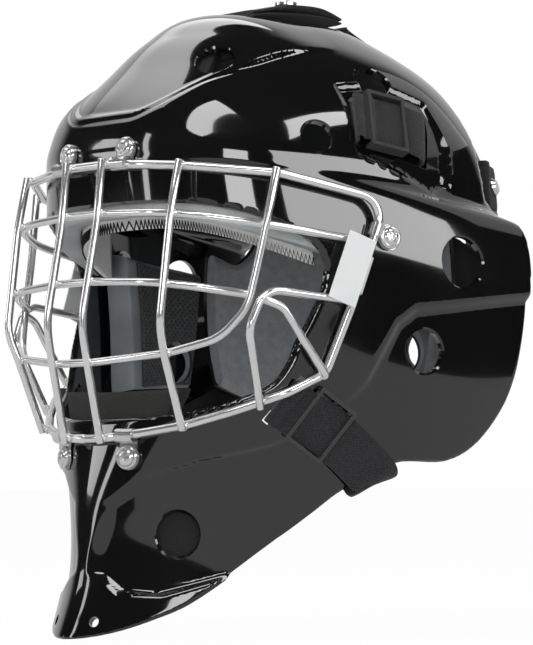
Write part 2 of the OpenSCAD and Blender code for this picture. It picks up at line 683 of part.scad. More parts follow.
// Air channel through the foam behind a side vent
module vent_channel(v) {
    on_shell(v, -shell_wall) mirror([0, 0, 1]) cylinder(d = v[2] + 1, h = 40, $fn = 40);
}
module cheek_pads() {
    outer = patch(stations, [[7.75, 61], [7.75, 74], [9.05, 70], [10.1, 61]], 7, 5, side_seat, 0);
    inner = patch(stations, [[7.8, 60], [7.8, 81], [10, 78], [10.1, 60]], 7, 5, side_seat + cheek_foam, 0);
    color("#8d9296") both() difference() {
        slab(inner, outer);
        nut_pocket(side_screw);
        vent_channel(neck_vent);
    }
}
liner_t = 1.2;
vent_foam = 4;
module cheek_liners() {
    k = [[7.85, 63], [7.85, 80.5], [9.95, 77.5], [10.05, 63]];
    seat = side_seat + cheek_foam + soft_gap;
    color("#454648") both() difference() {
        slab(patch(stations, k, 6, 5, seat + liner_t, 0.8), patch(stations, k, 6, 5, seat, 0.8));
        vent_channel(neck_vent);
    }
}
module jaw_pads() {
    k = [[10.2, 51], [10.2, 70], [11.1, 63.5], [11.3, 50]];
    color("#3a3836") both() pad(k, 5, 6, side_seat + 0.25, jaw_foam);
}
module jaw_vent_pads() {
    k = [[11.77, 22.4], [11.77, 34.8], [12.95, 34.8], [12.95, 22.4]];
    color("#1b1b1d") both() pad(k, 5, 5, side_seat + 0.25, vent_foam);
}
module chin_pad() {
    color("#4b4743") difference() {
        pad([[10.15, -21], [10.15, 21], [11.3, 17], [11.3, -17]], 4, 8, pad_seat, jaw_foam + 3);
        both() nut_pocket(chin_screw);
    }
}

// Top strap: a doubled band on the crown with a press stud; its rear run turns with the back plate
top_points = [
    [-56, 134.5], [-50, 136.3], [-40, 137], [-26, 137.2], [-12, 137.4], [-4, 136.8], [2, 134]
];
top_t = 4;
module top_strap() {
    c = [for (q = top_points) [0, q[0], q[1]]];
    color("#1d1d1f") band(c, [for (q = c) [-1, 0, 0]], top_strap_w, top_t);
}
module strap_snap() {
    color("#b9bcc0") translate([10, -28, 139.4]) {
        cylinder(d = 11, h = 1.4, $fn = 36);
        translate([0, 0, 1.4]) cylinder(d1 = 8, d2 = 5, h = 1, $fn = 36);
    }
}
module hinge_strap() {
    top = [for (t = [1.25, 1.6, 2]) over(plate_stations, t, 180, 2)];
    c = concat([[0, 5.5, 130.8], [0, 9, 128.2]], top);
    color("#1d1d1f") band(c, [for (q = c) [-1, 0, 0]], top_strap_w - 4, web_t);
}

// Back plate with vent openings, lined with foam
plate_hole_high = [21, 21, 13];
plate_hole_low = [14.5, -26.5, 10];
module plate_holes(play) {
    both() for (h = [plate_hole_high, plate_hole_low])
        translate([h.x, 50, h.y]) rotate([-90, 0, 0]) cylinder(r = h.z + play, h = 60, $fn = 48);
}
module back_plate() {
    k = [[1, 95], [1, 265], [9, 265], [9, 95]];
    color("#151517") difference() {
        intersection() {
            slab(patch(plate_stations, k, 18, 30, plate_wall, 0), patch(plate_stations, k, 18, 30, 0, 0));
            side_profile(plate_outline, profile_half);
        }
        plate_holes(0);
    }
}
module back_plate_pad() {
    k = [[1.3, 95], [1.3, 265], [8.9, 265], [8.9, 95]];
    seat = plate_wall + soft_gap;
    color("#6c6f72") difference() {
        intersection() {
            slab(
                patch(plate_stations, k, 12, 24, seat + plate_foam * 0.8, plate_foam * 0.2),
                patch(plate_stations, k, 12, 24, seat, 0)
            );
            side_profile(plate_outline, profile_half);
        }
        plate_holes(0.5);
    }
}
upper_hold = [4.3, 121];
lower_hold = [7.7, 113];
elastic_lift = 2.5;
neck_lift = 3.3;
rivet_seat = web_t / 2 + 0.75;
neck_bulge = 1.1;
module side_elastics() {
    c = [
        over(stations, 4.37, 90.2, -10), over(stations, 4.45, 93, -11.5), over(stations, 4.7, 99, -11.5),
        over(stations, 5.0, 105, -11.8), over(plate_stations, 4.25, 114, 3.9),
        over(plate_stations, 4.28, 118, elastic_lift), over(plate_stations, 4.33, 125, elastic_lift)
    ];
    color("#2b2b2d") both() band(c, [for (q = c) width_at(upper_end, upper_way)], web_w - 2, web_t);
}
module neck_elastics() {
    hem = over(stations, lower_end[0], lower_end[1], 0);
    c = [
        hem + [-8.2, 4.6, 4.4], hem + [-9, 12, 12], over(plate_stations, 8.2, 96, 6.4) + [0, -8, -6],
        over(plate_stations, 8, 103, 4.6), over(plate_stations, 7.8, 109, neck_lift),
        over(plate_stations, 7.6, 117, neck_lift)
    ];
    far = unit([0.2, 0.5, 0.84]);
    near = unit([0.39, 0.6, 0.7]);
    w = [for (i = [0 : len(c) - 1]) let (m = i / (len(c) - 1)) unit((1 - m) * near + m * far)];
    color("#2b2b2d") both() band(c, w, web_w - 4, web_t);
}
module plate_rivets() {
    color("#b9bcc0") both() for (s = [[upper_hold, elastic_lift], [lower_hold, neck_lift + neck_bulge]])
        place(
            over(plate_stations, s[0][0], s[0][1], s[1] + rivet_seat),
            base_normal(plate_stations, s[0][0], s[0][1]), [0, 0, 1]
        ) cylinder(d1 = 9, d2 = 6, h = 1.6, $fn = 32);
}

shell();
cage_frame();
brow_bar();
eye_bar();
muzzle_bar();
centre_bars();
outer_bars();
corner_bars();
corner_braces();
cage_tags();
forehead_clips();
chin_clips();
side_clips();
clip_screws();
clip_nuts();
forehead_pad();
sweatband();
crown_pad();
temple_pads();
cheek_pads();
cheek_liners();
jaw_pads();
jaw_vent_pads();
chin_pad();
upper_straps();
lower_straps();
top_strap();
strap_snap();
upper_slider_left();
upper_slider_right();
lower_slider_left();
lower_slider_right();
side_elastics();
neck_elastics();
back_plate();
back_plate_pad();
hinge_strap();
plate_rivets();
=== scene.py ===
from math import cos, pi, radians, sin

import bpy
import bmesh
import numpy as np
from mathutils import Matrix, Vector


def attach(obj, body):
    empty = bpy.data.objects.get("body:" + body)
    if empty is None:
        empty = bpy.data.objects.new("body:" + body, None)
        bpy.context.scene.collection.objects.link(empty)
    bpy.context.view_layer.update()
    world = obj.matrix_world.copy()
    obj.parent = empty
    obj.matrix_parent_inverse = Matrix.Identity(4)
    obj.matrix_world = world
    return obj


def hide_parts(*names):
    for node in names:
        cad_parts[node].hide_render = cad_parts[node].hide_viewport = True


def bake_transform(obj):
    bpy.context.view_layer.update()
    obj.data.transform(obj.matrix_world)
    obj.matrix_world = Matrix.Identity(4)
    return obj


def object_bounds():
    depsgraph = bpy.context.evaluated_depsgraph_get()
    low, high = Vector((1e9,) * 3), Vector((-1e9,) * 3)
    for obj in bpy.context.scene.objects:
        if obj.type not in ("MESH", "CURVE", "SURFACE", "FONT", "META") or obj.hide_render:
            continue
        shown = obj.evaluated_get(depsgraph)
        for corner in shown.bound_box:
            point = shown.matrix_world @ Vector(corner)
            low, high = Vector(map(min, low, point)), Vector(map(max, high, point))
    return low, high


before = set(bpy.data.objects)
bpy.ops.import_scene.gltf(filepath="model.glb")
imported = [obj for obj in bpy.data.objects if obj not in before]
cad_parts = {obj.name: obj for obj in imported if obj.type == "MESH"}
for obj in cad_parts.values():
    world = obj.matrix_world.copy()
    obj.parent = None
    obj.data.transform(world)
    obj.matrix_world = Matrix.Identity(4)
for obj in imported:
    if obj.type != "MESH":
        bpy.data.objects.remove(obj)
cad_box = [list(map(float, corner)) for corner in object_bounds()]

# Lengths are in millimetres until a mesh is made: x to the wearer's left, y to the rear, z up
MM = 0.001

# Surface stations, the same as the CAD model's:
# height, tilt, half width, front y, rear y, widest y, squareness
STATIONS = np.array([
    [132, 0, 0, -30, -30, -30, 2.0],
    [128, 0, 29, -75, 2, -30, 2.0],
    [116, 0, 54, -95, 20, -26, 2.05],
    [97, -3, 78, -110, 46, -18, 2.1],
    [74, -7, 93, -125, 66, -12, 2.35],
    [52, -11, 99, -134, 76, -6, 2.7],
    [39, -14, 101, -136, 82, -4, 2.7],
    [31, -14, 108, -136, 92, 36, 2.75],
    [8, -9, 112, -134, 96, 42, 2.75],
    [-20, -4, 113, -133, 94, 40, 2.6],
    [-48, 0, 113, -134, 88, 32, 2.4],
    [-76, 0, 111, -138, 82, 18, 2.05],
    [-108, 0, 106, -143, 72, 0, 1.68],
    [-140, 0, 101, -146, 66, -4, 1.62],
    [-172, 0, 96, -157, 58, -8, 1.6],
    [-196, 0, 92, -163, 52, -10, 1.6],
], float)
PLATE_STATIONS = np.array([
    [130, 0, 12, -20, 12, 0, 2.3],
    [118, 0, 32, -20, 29, 0, 2.3],
    [104, 0, 54, -20, 47, 0, 2.3],
    [82, 0, 74, -20, 65, -2, 2.3],
    [56, 0, 87, -20, 78, -4, 2.3],
    [28, 0, 94.4, -20, 85, -6, 2.3],
    [0, 0, 97.2, -20, 88, -6, 2.3],
    [-26, 0, 97, -20, 87, -4, 2.3],
    [-50, 0, 93, -20, 82, 0, 2.3],
    [-70, 0, 86, -20, 74, 4, 2.3],
], float)
REAR_SQUARE = 2.3

# Outlines seen from the side, as (y, z)
EDGE = [
    (4, 150), (5, 132), (12, 110), (20, 94), (26, 75), (27, 57), (27, 43), (33, 37), (39, 28),
    (42, 14), (40, -8), (36, -30), (31, -47), (23, -62), (8, -78), (-10, -86), (-37, -87),
    (-61, -100), (-85, -122), (-114, -149), (-132, -160), (-151, -168), (-175, -173),
]
FACE = [
    (-150, 35), (-128, 34), (-107, 28.5), (-91, 21), (-80, 13.5), (-76, 3), (-77, -7), (-82, -20),
    (-87, -31), (-90, -41), (-96, -51), (-107, -57.5), (-122, -63.5), (-136, -66.5), (-150, -67),
]
RECESS = [
    (70, -4), (22, -9), (-30, -15), (-40, -22), (-47, -34), (-56, -50), (-74, -68), (-94, -79),
    (-118, -86), (-132, -93), (-140, -106), (-144, -138), (-140, -147), (-128, -148),
    (-100, -138), (-60, -128), (70, -80),
]
POCKET = [(-55, 58), (-55, 91), (-30, 94), (-6, 86), (0, 64), (-3, 44), (-14, 42), (-32, 50)]
PLATE_OUTLINE = [
    (-14, 10), (-12, 21.5), (-5, 24.5), (8, 21), (18, 17.5), (25, 20), (32, 31), (36, 60), (31, 90),
    (22, 116), (24, 122), (120, 122), (120, -66), (60, -64), (23, -52), (0, -40), (-12, -20),
]
AHEAD_OF_ALL = -230

# Holes on one side: station, degrees from the front, and a vent's diameter; the last is a cord hole
VENTS = [
    (8.0, 81.2, 24.5), (9.53, 73.9, 20.6), (12.38, 29.2, 20.6), (2.86, 30.7, 19), (4.7, 63.1, 16),
    (3.11, 81.9, 19), (13.63, 12.6, 5),
]
SCREWS = [(5.74, 7.6), (11.27, 13.3), (7.79, 67.5)]
SCREW_HOLE_R = 2.65

WALL, RIM_ROUND = 3.6, 1.3
PANEL_RISE, BROW_RISE, RECESS_DEEP, POCKET_DEEP = 2.6, 5, 2.6, 2.2


# Small numeric tools
def unit(v):
    v = np.asarray(v, float)
    return v / np.maximum(np.linalg.norm(v, axis=-1, keepdims=True), 1e-12)


def smooth(a, b, x):
    q = np.clip((x - a) / (b - a), 0, 1)
    return q * q * (3 - 2 * q)


def curve_at(a, b, c, d, q):
    """Catmull-Rom curve between b and c."""
    square, cube = 2 * a - 5 * b + 4 * c - d, 3 * b - a - 3 * c + d
    return 0.5 * (2 * b + (c - a) * q + square * q**2 + cube * q**3)


def spline(points, n, closed=False):
    """Smooth curve through the points, with n steps to each leg."""
    p = np.array(points, float)
    if closed:
        p = np.vstack([p[-1:], p, p[:2]])
    else:
        p = np.vstack([2 * p[:1] - p[1:2], p, 2 * p[-1:] - p[-2:-1]])
    legs = range(1, len(p) - 2)
    out = [curve_at(*p[i - 1 : i + 3], q) for i in legs for q in np.arange(n) / n]
    if not closed:
        out.append(p[-2])
    return np.array(out)


def lengths(path):
    """How far along the path each of its points is."""
    return np.concatenate([[0], np.cumsum(np.linalg.norm(np.diff(path, axis=0), axis=1))])


def tangents(path):
    legs = unit(np.diff(path, axis=0))
    return unit(np.vstack([legs[:1], legs[1:] + legs[:-1], legs[-1:]]))


def edge_depth(y, z, poly):
    """Distance of points from a polygon's edge, positive inside."""
    poly = np.asarray(poly, float)
    best = np.full(y.shape, 1e9)
    inside = np.zeros(y.shape, bool)
    for (ay, az), (by, bz) in zip(poly, np.roll(poly, -1, axis=0)):
        ey, ez = by - ay, bz - az
        k = np.clip(((y - ay) * ey + (z - az) * ez) / (ey * ey + ez * ez), 0, 1)
        best = np.minimum(best, np.hypot(y - ay - k * ey, z - az - k * ez))
        if az != bz:
            inside ^= ((az <= z) != (bz <= z)) & (y < ay + (z - az) * ey / ez)
    return np.where(inside, best, -best)


def rounded(depth, radius):
    """How far a quarter-round edge stands back, from the distance to the edge."""
    q = np.clip(depth, 0, radius)
    return radius - np.sqrt(np.maximum(radius**2 - (radius - q) ** 2, 0))


def closed_ahead(outline):
    """A smoothed outline, closed by two corners well in front of the mask."""
    corners = [[AHEAD_OF_ALL, outline[-1][1]], [AHEAD_OF_ALL, outline[0][1]]]
    return np.vstack([spline(outline, 6), corners])


EDGE_LINE, FACE_LINE = closed_ahead(EDGE), closed_ahead(FACE)
PLATE_LINE = spline(PLATE_OUTLINE, 5, closed=True)


# The moulded surface: t runs down the stations, a is the angle from the front in degrees
def station(rows, t):
    crown = rows[1] * [1, 1, -1, 0, 0, 1, 1] + [0, 0, 0, rows[1][4], rows[1][3], 0, 0]
    padded = np.vstack([crown, rows, 2 * rows[-1] - rows[-2]])
    i = np.clip(np.floor(t).astype(int), 0, len(rows) - 2)
    return curve_at(*(padded[i + k] for k in range(4)), (t - i)[..., None])


def base_point(rows, t, a):
    t, a = np.broadcast_arrays(np.asarray(t, float), np.radians(np.asarray(a, float)))
    s = station(rows, t)
    front = np.cos(a) >= 0
    n = np.where(front, s[..., 6], REAR_SQUARE)
    end = np.where(front, s[..., 3], s[..., 4])
    y = s[..., 5] + (end - s[..., 5]) * np.abs(np.cos(a)) ** (2 / n)
    x = s[..., 2] * np.sign(np.sin(a)) * np.abs(np.sin(a)) ** (2 / n)
    return np.stack([x, y, s[..., 0] + s[..., 1] * y / 100], -1)


def base_normal(rows, t, a):
    t, a = np.broadcast_arrays(np.asarray(t, float), np.asarray(a, float))
    dt = base_point(rows, t + 0.01, a) - base_point(rows, np.maximum(t - 0.01, 0), a)
    da = base_point(rows, t, a + 0.1) - base_point(rows, t, a - 0.1)
    n = unit(np.cross(dt, da))
    n[t < 0.02] = [0, 0, 1]
    return n


def relief(p):
    """Height of the crown panel and brow over the plain surface, less the two side hollows."""
    ax, y, z = np.abs(p[..., 0]), p[..., 1], p[..., 2]
    out = np.maximum(ax - 18, 0)
    s = (z - 75 - 0.02 * out**2) / np.sqrt(1 + (0.04 * out) ** 2)
    panel = PANEL_RISE * smooth(-1.5, 1.5, s) * (1 - smooth(-75, -35, y))
    brow = (BROW_RISE * smooth(58, 80, z) * (1 - smooth(-4, 4, s))
            * (1 - smooth(45, 85, ax)) * (1 - smooth(-110, -80, y)))
    waist = 0.35 + 0.65 * np.clip(np.abs(y + 72) / 22, 0, 1)
    soft = 0.6 + 0.4 * smooth(-100, -60, z)
    recess = RECESS_DEEP * waist * smooth(-2.2 * soft, 2.8 * soft, edge_depth(y, z, RECESS))
    pocket = POCKET_DEEP * smooth(-1.5, 1.5, edge_depth(y, z, POCKET))
    return panel + brow - recess - np.where(ax > 40, pocket, 0)


def shell_point(t, a, inward=0.0):
    p = base_point(STATIONS, t, a)
    return p + base_normal(STATIONS, t, a) * (relief(p) - inward)[..., None]


def over(rows, t, a, h):
    return base_point(rows, t, a) + base_normal(rows, t, a) * np.asarray(h, float)[..., None]


def laid(rows, path):
    """Points over a surface, each given as station, angle and height."""
    return [over(rows, *q) for q in path]


# Mesh builders
def new_object(name, data):
    obj = bpy.data.objects.new(name, data)
    bpy.context.scene.collection.objects.link(obj)
    return obj


def new_mesh(name, points, faces, outward=False):
    """Mesh in metres from points in millimetres."""
    mesh = bpy.data.meshes.new(name)
    mesh.from_pydata((np.asarray(points) * MM).tolist(), [], [list(map(int, f)) for f in faces])
    mesh.update()
    if outward:
        work = bmesh.new()
        work.from_mesh(mesh)
        bmesh.ops.recalc_face_normals(work, faces=work.faces)
        work.to_mesh(mesh)
        work.free()
    return mesh


def shade(obj, angle):
    obj.data.shade_smooth()
    obj.data.set_sharp_from_angle(angle=radians(angle))


def add_mesh(name, part, material, body="mask", angle=40, uv=None, outward=False):
    mesh = new_mesh(name, *part, outward)
    obj = new_object(name, mesh)
    mesh.materials.append(material)
    if uv is not None:
        corner = np.empty(len(mesh.loops), int)
        mesh.loops.foreach_get("vertex_index", corner)
        layer = mesh.uv_layers.new(name="weave")
        layer.data.foreach_set("uv", np.asarray(uv, float)[corner].ravel())
    shade(obj, angle)
    if body:
        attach(obj, body)
    return obj


def add_soft(name, parts, material, body="mask", angle=60, outward=False):
    """Bands or pads in one piece, with the millimetres along each as its UVs."""
    uv = np.vstack([part[2] for part in parts])
    joined = join_parts([part[:2] for part in parts])
    return add_mesh(name, joined, material, body, angle, uv, outward)


def stand_for(piece, node):
    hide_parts(node)


def grid_faces(rows, cols, closed=False, start=0, flip=False):
    """Faces of a grid of points; where it is closed, its last column meets its first."""
    i, j = np.meshgrid(np.arange(rows - 1), np.arange(cols - (not closed)), indexing="ij")
    low, high, after = i * cols, (i + 1) * cols, (j + 1) % cols
    quads = np.stack([low + j, low + after, high + after, high + j], -1).reshape(-1, 4) + start
    return (quads[:, ::-1] if flip else quads).tolist()


def tube_faces(rows, sides):
    """Faces of a closed tube of rings, with both of its ends."""
    last = (rows - 1) * sides
    ends = [list(range(sides))[::-1], list(range(last, last + sides))]
    return grid_faces(rows, sides, closed=True) + ends


def rim_of(rows, cols):
    """The points round a grid's edge, in order."""
    return np.concatenate([
        np.arange(cols), np.arange(2, rows) * cols - 1,
        np.arange(rows * cols - 1, (rows - 1) * cols - 1, -1), np.arange(rows - 2, 0, -1) * cols,
    ])


def stitch(first, second):
    """Faces between two closed loops of points."""
    return np.column_stack([first, second, np.roll(second, -1), np.roll(first, -1)]).tolist()


def tube(points, radii, sides):
    """Round tube along points."""
    p = np.asarray(points, float)
    way = tangents(p)
    x = unit(np.cross(way[0], [0.31, 0.2, 0.93]))
    a = np.arange(sides) * 2 * pi / sides
    rings = []
    for q, d, k in zip(p, way, np.broadcast_to(np.asarray(radii, float), len(p))):
        x = unit(x - d * (x @ d))
        rings.append(q + k * (np.cos(a)[:, None] * x + np.sin(a)[:, None] * np.cross(d, x)))
    return np.vstack(rings), tube_faces(len(p), sides)


def join_parts(parts):
    verts, faces, start = [], [], 0
    for v, f in parts:
        verts.append(np.asarray(v, float))
        faces += [[i + start for i in g] for g in f]
        start += len(v)
    return np.vstack(verts), faces


def mirrored(part):
    v, f, *uv = part
    return np.asarray(v) * [-1, 1, 1], [list(g)[::-1] for g in f], *uv


def both(part):
    return join_parts([part, mirrored(part)])


# Materials
def nodes_of(name):
    material = bpy.data.materials.new(name)
    material.use_nodes = True
    tree = material.node_tree
    return material, tree, tree.nodes["Principled BSDF"]


def put(node, values):
    """Set a node's own sockets: an output is linked to its socket, any other value stays on it."""
    for socket, value in values.items():
        if isinstance(value, bpy.types.NodeSocket):
            node.id_data.links.new(value, node.inputs[socket])
        else:
            node.inputs[socket].default_value = value


def add_node(tree, kind, values=None):
    node = tree.nodes.new(kind)
    put(node, values or {})
    return node


def object_place(tree):
    return add_node(tree, "ShaderNodeTexCoord").outputs["Object"]


def noise(tree, scale, detail=3.0, rough=0.5):
    values = {"Vector": object_place(tree), "Scale": scale, "Detail": detail, "Roughness": rough}
    return add_node(tree, "ShaderNodeTexNoise", values).outputs["Fac"]


def ramp(tree, source, low, high, ends=(0.3, 0.7)):
    """Colour or number that goes from low to high between two values of the source."""
    node = add_node(tree, "ShaderNodeValToRGB", {"Fac": source})
    for element, end, tone in zip(node.color_ramp.elements, ends, (low, high)):
        element.position = end
        element.color = (*tone, 1) if isinstance(tone, tuple) else (tone, tone, tone, 1)
    return node.outputs["Color"]


def map_range(tree, source, start, end, low, high, kind="LINEAR"):
    ends = {"From Min": start, "From Max": end, "To Min": low, "To Max": high}
    node = add_node(tree, "ShaderNodeMapRange", {"Value": source, **ends})
    node.interpolation_type = kind
    return node.outputs["Result"]


def math_node(tree, operation, *values):
    node = add_node(tree, "ShaderNodeMath", dict(enumerate(values)))
    node.operation = operation
    return node.outputs[0]


def uv_place(tree, turn, scale=1.0):
    """The piece's own length and width in millimetres, turned and scaled."""
    place = add_node(tree, "ShaderNodeUVMap").outputs["UV"]
    values = {"Vector": place, "Rotation": (0, 0, turn), "Scale": (scale, scale, scale)}
    return add_node(tree, "ShaderNodeMapping", values).outputs["Vector"]


def bump(tree, height, strength, distance):
    values = {"Height": height, "Strength": strength, "Distance": distance}
    return add_node(tree, "ShaderNodeBump", values).outputs["Normal"]


def tinted(colour, factor):
    return tuple(min(1.0, c * factor) for c in colour)


def plain_finish(name, colour, rough, grain, spread=0.25, scale=60.0, specular=0.5, sheen=0.0):
    """Colour and roughness that vary a little, and a fine bump (scale, strength, distance)."""
    material, tree, shader = nodes_of(name)
    n = noise(tree, scale, 5.0)
    put(shader, {
        "Base Color": ramp(tree, n, tinted(colour, 1 - spread), tinted(colour, 1 + spread)),
        "Roughness": ramp(tree, n, rough * 0.85, min(1.0, rough * 1.15)),
        "Normal": bump(tree, noise(tree, grain[0], 4.0, 0.6), grain[1], grain[2]),
        "Specular IOR Level": specular, "Sheen Weight": sheen, "Sheen Roughness": 0.5,
    })
    return material


def foam_finish(name, colour):
    """Closed-cell foam: fine pits on a matt skin."""
    material, tree, shader = nodes_of(name)
    cells = add_node(tree, "ShaderNodeTexVoronoi", {"Vector": object_place(tree), "Scale": 900})
    put(shader, {
        "Base Color": ramp(tree, noise(tree, 45, 4.0), tinted(colour, 0.82), tinted(colour, 1.12)),
        "Normal": bump(tree, cells.outputs["Distance"], 0.5, 0.0004),
        "Roughness": 0.75, "Specular IOR Level": 0.3,
    })
    return material


def webbing_finish(name, colour, pitch, turn, fuzz):
    """Woven tape: ribs that cross over the tape's own length, pitch in millimetres, with fuzz."""
    material, tree, shader = nodes_of(name)
    ribs = []
    for angle in (turn, -turn):
        form = {"Scale": 0.314 / pitch, "Distortion": 1.2, "Detail": 2, "Detail Scale": 0.6}
        wave = add_node(tree, "ShaderNodeTexWave", {"Vector": uv_place(tree, angle), **form})
        ribs.append(wave.outputs["Fac"])
    hair = math_node(tree, "MULTIPLY", noise(tree, 900, 6.0, 0.7), fuzz)
    # The weave's ribs are real; the colour that follows their height is painted shade in the
    # hollows between ribs and a painted highlight on their tops.
    height = math_node(tree, "MULTIPLY_ADD", math_node(tree, "MULTIPLY", *ribs), 0.22, hair)
    put(shader, {
        "Base Color": ramp(tree, height, tinted(colour, 0.35), tinted(colour, 1.9), (0.25, 0.75)),
        "Normal": bump(tree, height, 0.8, 0.0006),
        "Roughness": 0.9, "Specular IOR Level": 0.15, "Sheen Weight": 0.2, "Sheen Roughness": 0.5,
    })
    return material


def mesh_finish(name, colour, pitch=2.2, hole=0.16):
    """Lining cloth with staggered rows of small holes."""
    material, tree, shader = nodes_of(name)
    dots = add_node(tree, "ShaderNodeTexVoronoi")
    dots.voronoi_dimensions = "2D"
    put(dots, {"Vector": uv_place(tree, pi / 4, 1 / pitch), "Scale": 1.0, "Randomness": 0.08})
    holes = ramp(tree, dots.outputs["Distance"], 0.35, 1.0, (hole, hole + 0.12))
    tone = ramp(tree, noise(tree, 420, 5.0, 0.6), tinted(colour, 0.72), tinted(colour, 1.3))
    mix = add_node(tree, "ShaderNodeMix")
    mix.data_type = "RGBA"
    mix.blend_type = "MULTIPLY"
    put(mix, {"Factor": 1.0, "A": tone, "B": holes})
    put(shader, {
        "Base Color": mix.outputs["Result"], "Normal": bump(tree, holes, 0.5, 0.0005),
        "Roughness": 0.8, "Specular IOR Level": 0.2,
    })
    return material


def gloss_finish(name):
    """Moulded black shell: deep gloss with a faint orange peel."""
    material, tree, shader = nodes_of(name)
    n = noise(tree, 30, 3.0)
    put(shader, {
        "Base Color": ramp(tree, n, (0.0035, 0.0036, 0.004), (0.005, 0.005, 0.0055)),
        "Roughness": ramp(tree, n, 0.06, 0.1, (0.35, 0.75)),
        "Normal": bump(tree, noise(tree, 120, 1.0), 0.02, 0.0003),
        "IOR": 1.5, "Coat Weight": 1.0, "Coat Roughness": 0.02,
    })
    return material


def chrome_finish(name, tone, rough, metallic):
    material, tree, shader = nodes_of(name)
    n = noise(tree, 90, 4.0)
    put(shader, {
        "Base Color": ramp(tree, n, (tone * 0.93,) * 3, (tone, tone, tone * 1.01)),
        "Roughness": ramp(tree, n, rough, rough * 1.3, (0.35, 0.8)),
        "Normal": bump(tree, noise(tree, 600, 3.0), 0.05, 0.0001), "Metallic": metallic,
    })
    return material


def paint_shade_above(material, low, high):
    """Painted shade: fade a finish to black between two heights, so the lining high in the crown
    looks dark through the vents.
    """
    tree = material.node_tree
    shader = tree.nodes["Principled BSDF"]
    colour = shader.inputs["Base Color"].links[0].from_socket
    split = add_node(tree, "ShaderNodeSeparateXYZ", {"Vector": object_place(tree)})
    share = map_range(tree, split.outputs["Z"], low * MM, high * MM, 1.0, 0.06)
    mix = add_node(tree, "ShaderNodeVectorMath")
    mix.operation = "SCALE"
    put(mix, {0: colour, "Scale": share})
    put(shader, {"Base Color": mix.outputs["Vector"]})


SHELL = gloss_finish("shell_gloss")
CHROME = chrome_finish("cage_chrome", 0.86, 0.13, 0.82)
STEEL = chrome_finish("clip_steel", 0.74, 0.17, 0.85)
TAG = plain_finish("tag_film", (0.8, 0.82, 0.82), 0.35, (900, 0.1, 0.0001), spread=0.02)
FOAM_GREY = foam_finish("foam_grey", (0.25, 0.27, 0.285))
FOAM_PALE = foam_finish("foam_pale", (0.4, 0.42, 0.43))
FOAM_BLACK = foam_finish("foam_black", (0.012, 0.012, 0.012))
FOAM_BROWN = foam_finish("foam_brown", (0.024, 0.023, 0.022))
TERRY = plain_finish(
    "terry", (0.8, 0.8, 0.78), 0.9, (1500, 0.9, 0.0008),
    spread=0.08, scale=500, specular=0.1, sheen=0.3,
)
WEBBING = webbing_finish("webbing", (0.022, 0.022, 0.024), 1.3, 0.62, 0.9)
ELASTIC = webbing_finish("elastic", (0.016, 0.016, 0.017), 1.1, 0.0, 0.35)
THREAD = plain_finish("thread", (0.012, 0.012, 0.012), 0.8, (2500, 0.6, 0.0002))
MESH = mesh_finish("perforated_lining", (0.075, 0.077, 0.08))
SLIDER = plain_finish(
    "slider_plastic", (0.035, 0.035, 0.037), 0.3, (500, 0.15, 0.0001), spread=0.1,
)
PLATE = plain_finish("plate_plastic", (0.012, 0.012, 0.013), 0.3, (400, 0.2, 0.0001), spread=0.2)
LINING = plain_finish(
    "lining_cloth", (0.3, 0.315, 0.33), 0.8, (1300, 0.7, 0.0004),
    spread=0.15, scale=220, specular=0.2, sheen=0.3,
)
# Painted shade: the lining goes black towards the crown, where it shows through the vents.
paint_shade_above(LINING, 52.0, 60.0)


# Cutters, and the cuts that they make
SQUARE = ((-1, -1), (1, -1), (1, 1), (-1, 1))


def on_shell(spot):
    return shell_point(*spot[:2]), base_normal(STATIONS, *spot[:2])


def cylinder_part(spot, radius, reach=14.0, sides=96):
    p, n = on_shell(spot)
    return tube([p - n * reach, p + n * reach], radius, sides)


def chamfer_part(spot, depth=1.1, tall=4.0):
    """Cone that breaks a vent's outer edge."""
    p, n = on_shell(spot)
    radius = spot[2] / 2
    return tube([p - n * depth, p + n * tall], [radius, radius + depth + tall], 96)


def slot_part(spot, way, gap, width=27.4, deep=24):
    """Block across the shell, its gap along the way and its width across it."""
    p, n = base_point(STATIONS, *spot), base_normal(STATIONS, *spot)
    y = unit(np.cross(n, way))
    x = np.cross(y, n)
    corners = [
        p + i * x * gap / 2 + j * y * width / 2 + k * n * deep / 2
        for k in (-1, 1) for i, j in SQUARE
    ]
    return np.array(corners), tube_faces(2, 4)


def profile_part(points, half=140.0):
    """Slab across the whole mask with a side outline."""
    p = np.array(points, float)
    rings = [np.column_stack([np.full(len(p), x), p]) for x in (-half, half)]
    return np.vstack(rings), tube_faces(2, len(p))


def cut(obj, parts, operation="DIFFERENCE"):
    for part in parts:
        tool = new_object("cutter", new_mesh("cutter", *part, outward=True))
        step = obj.modifiers.new("cut", "BOOLEAN")
        step.operation = operation
        step.solver = "MANIFOLD"
        step.object = tool
        bpy.context.view_layer.update()
        graph = bpy.context.evaluated_depsgraph_get()
        done = bpy.data.meshes.new_from_object(obj.evaluated_get(graph))
        obj.modifiers.clear()
        spent = (obj.data, tool.data)
        obj.data = done
        bpy.data.objects.remove(tool)
        for mesh in spent:
            bpy.data.meshes.remove(mesh)


def dress_cut(obj, material, angle, body):
    """Finish a cut piece: one material, smooth shading and the body that it rides on."""
    obj.data.materials.clear()
    obj.data.materials.append(material)
    obj.data.polygons.foreach_set("material_index", np.zeros(len(obj.data.polygons), np.int32))
    shade(obj, angle)
    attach(obj, body)


# The two side straps' slots, and the way that each strap runs
UPPER_START, UPPER_END = (4.12, 73.5), (4.36, 89.4)
LOWER_START, LOWER_END = (10.36, 45.8), (11.52, 65.3)
UPPER_WAY = unit(base_point(STATIONS, *UPPER_END) - base_point(STATIONS, *UPPER_START))
LOWER_WAY = unit(base_point(STATIONS, *LOWER_END) - base_point(STATIONS, *LOWER_START))
SLOTS = [(UPPER_START, UPPER_WAY, 5), (UPPER_END, UPPER_WAY, 5), (LOWER_START, LOWER_WAY, 3.8)]


def width_at(spot, way):
    """Direction across a strap that lies on the shell."""
    return unit(np.cross(base_normal(STATIONS, *spot[:2]), way))


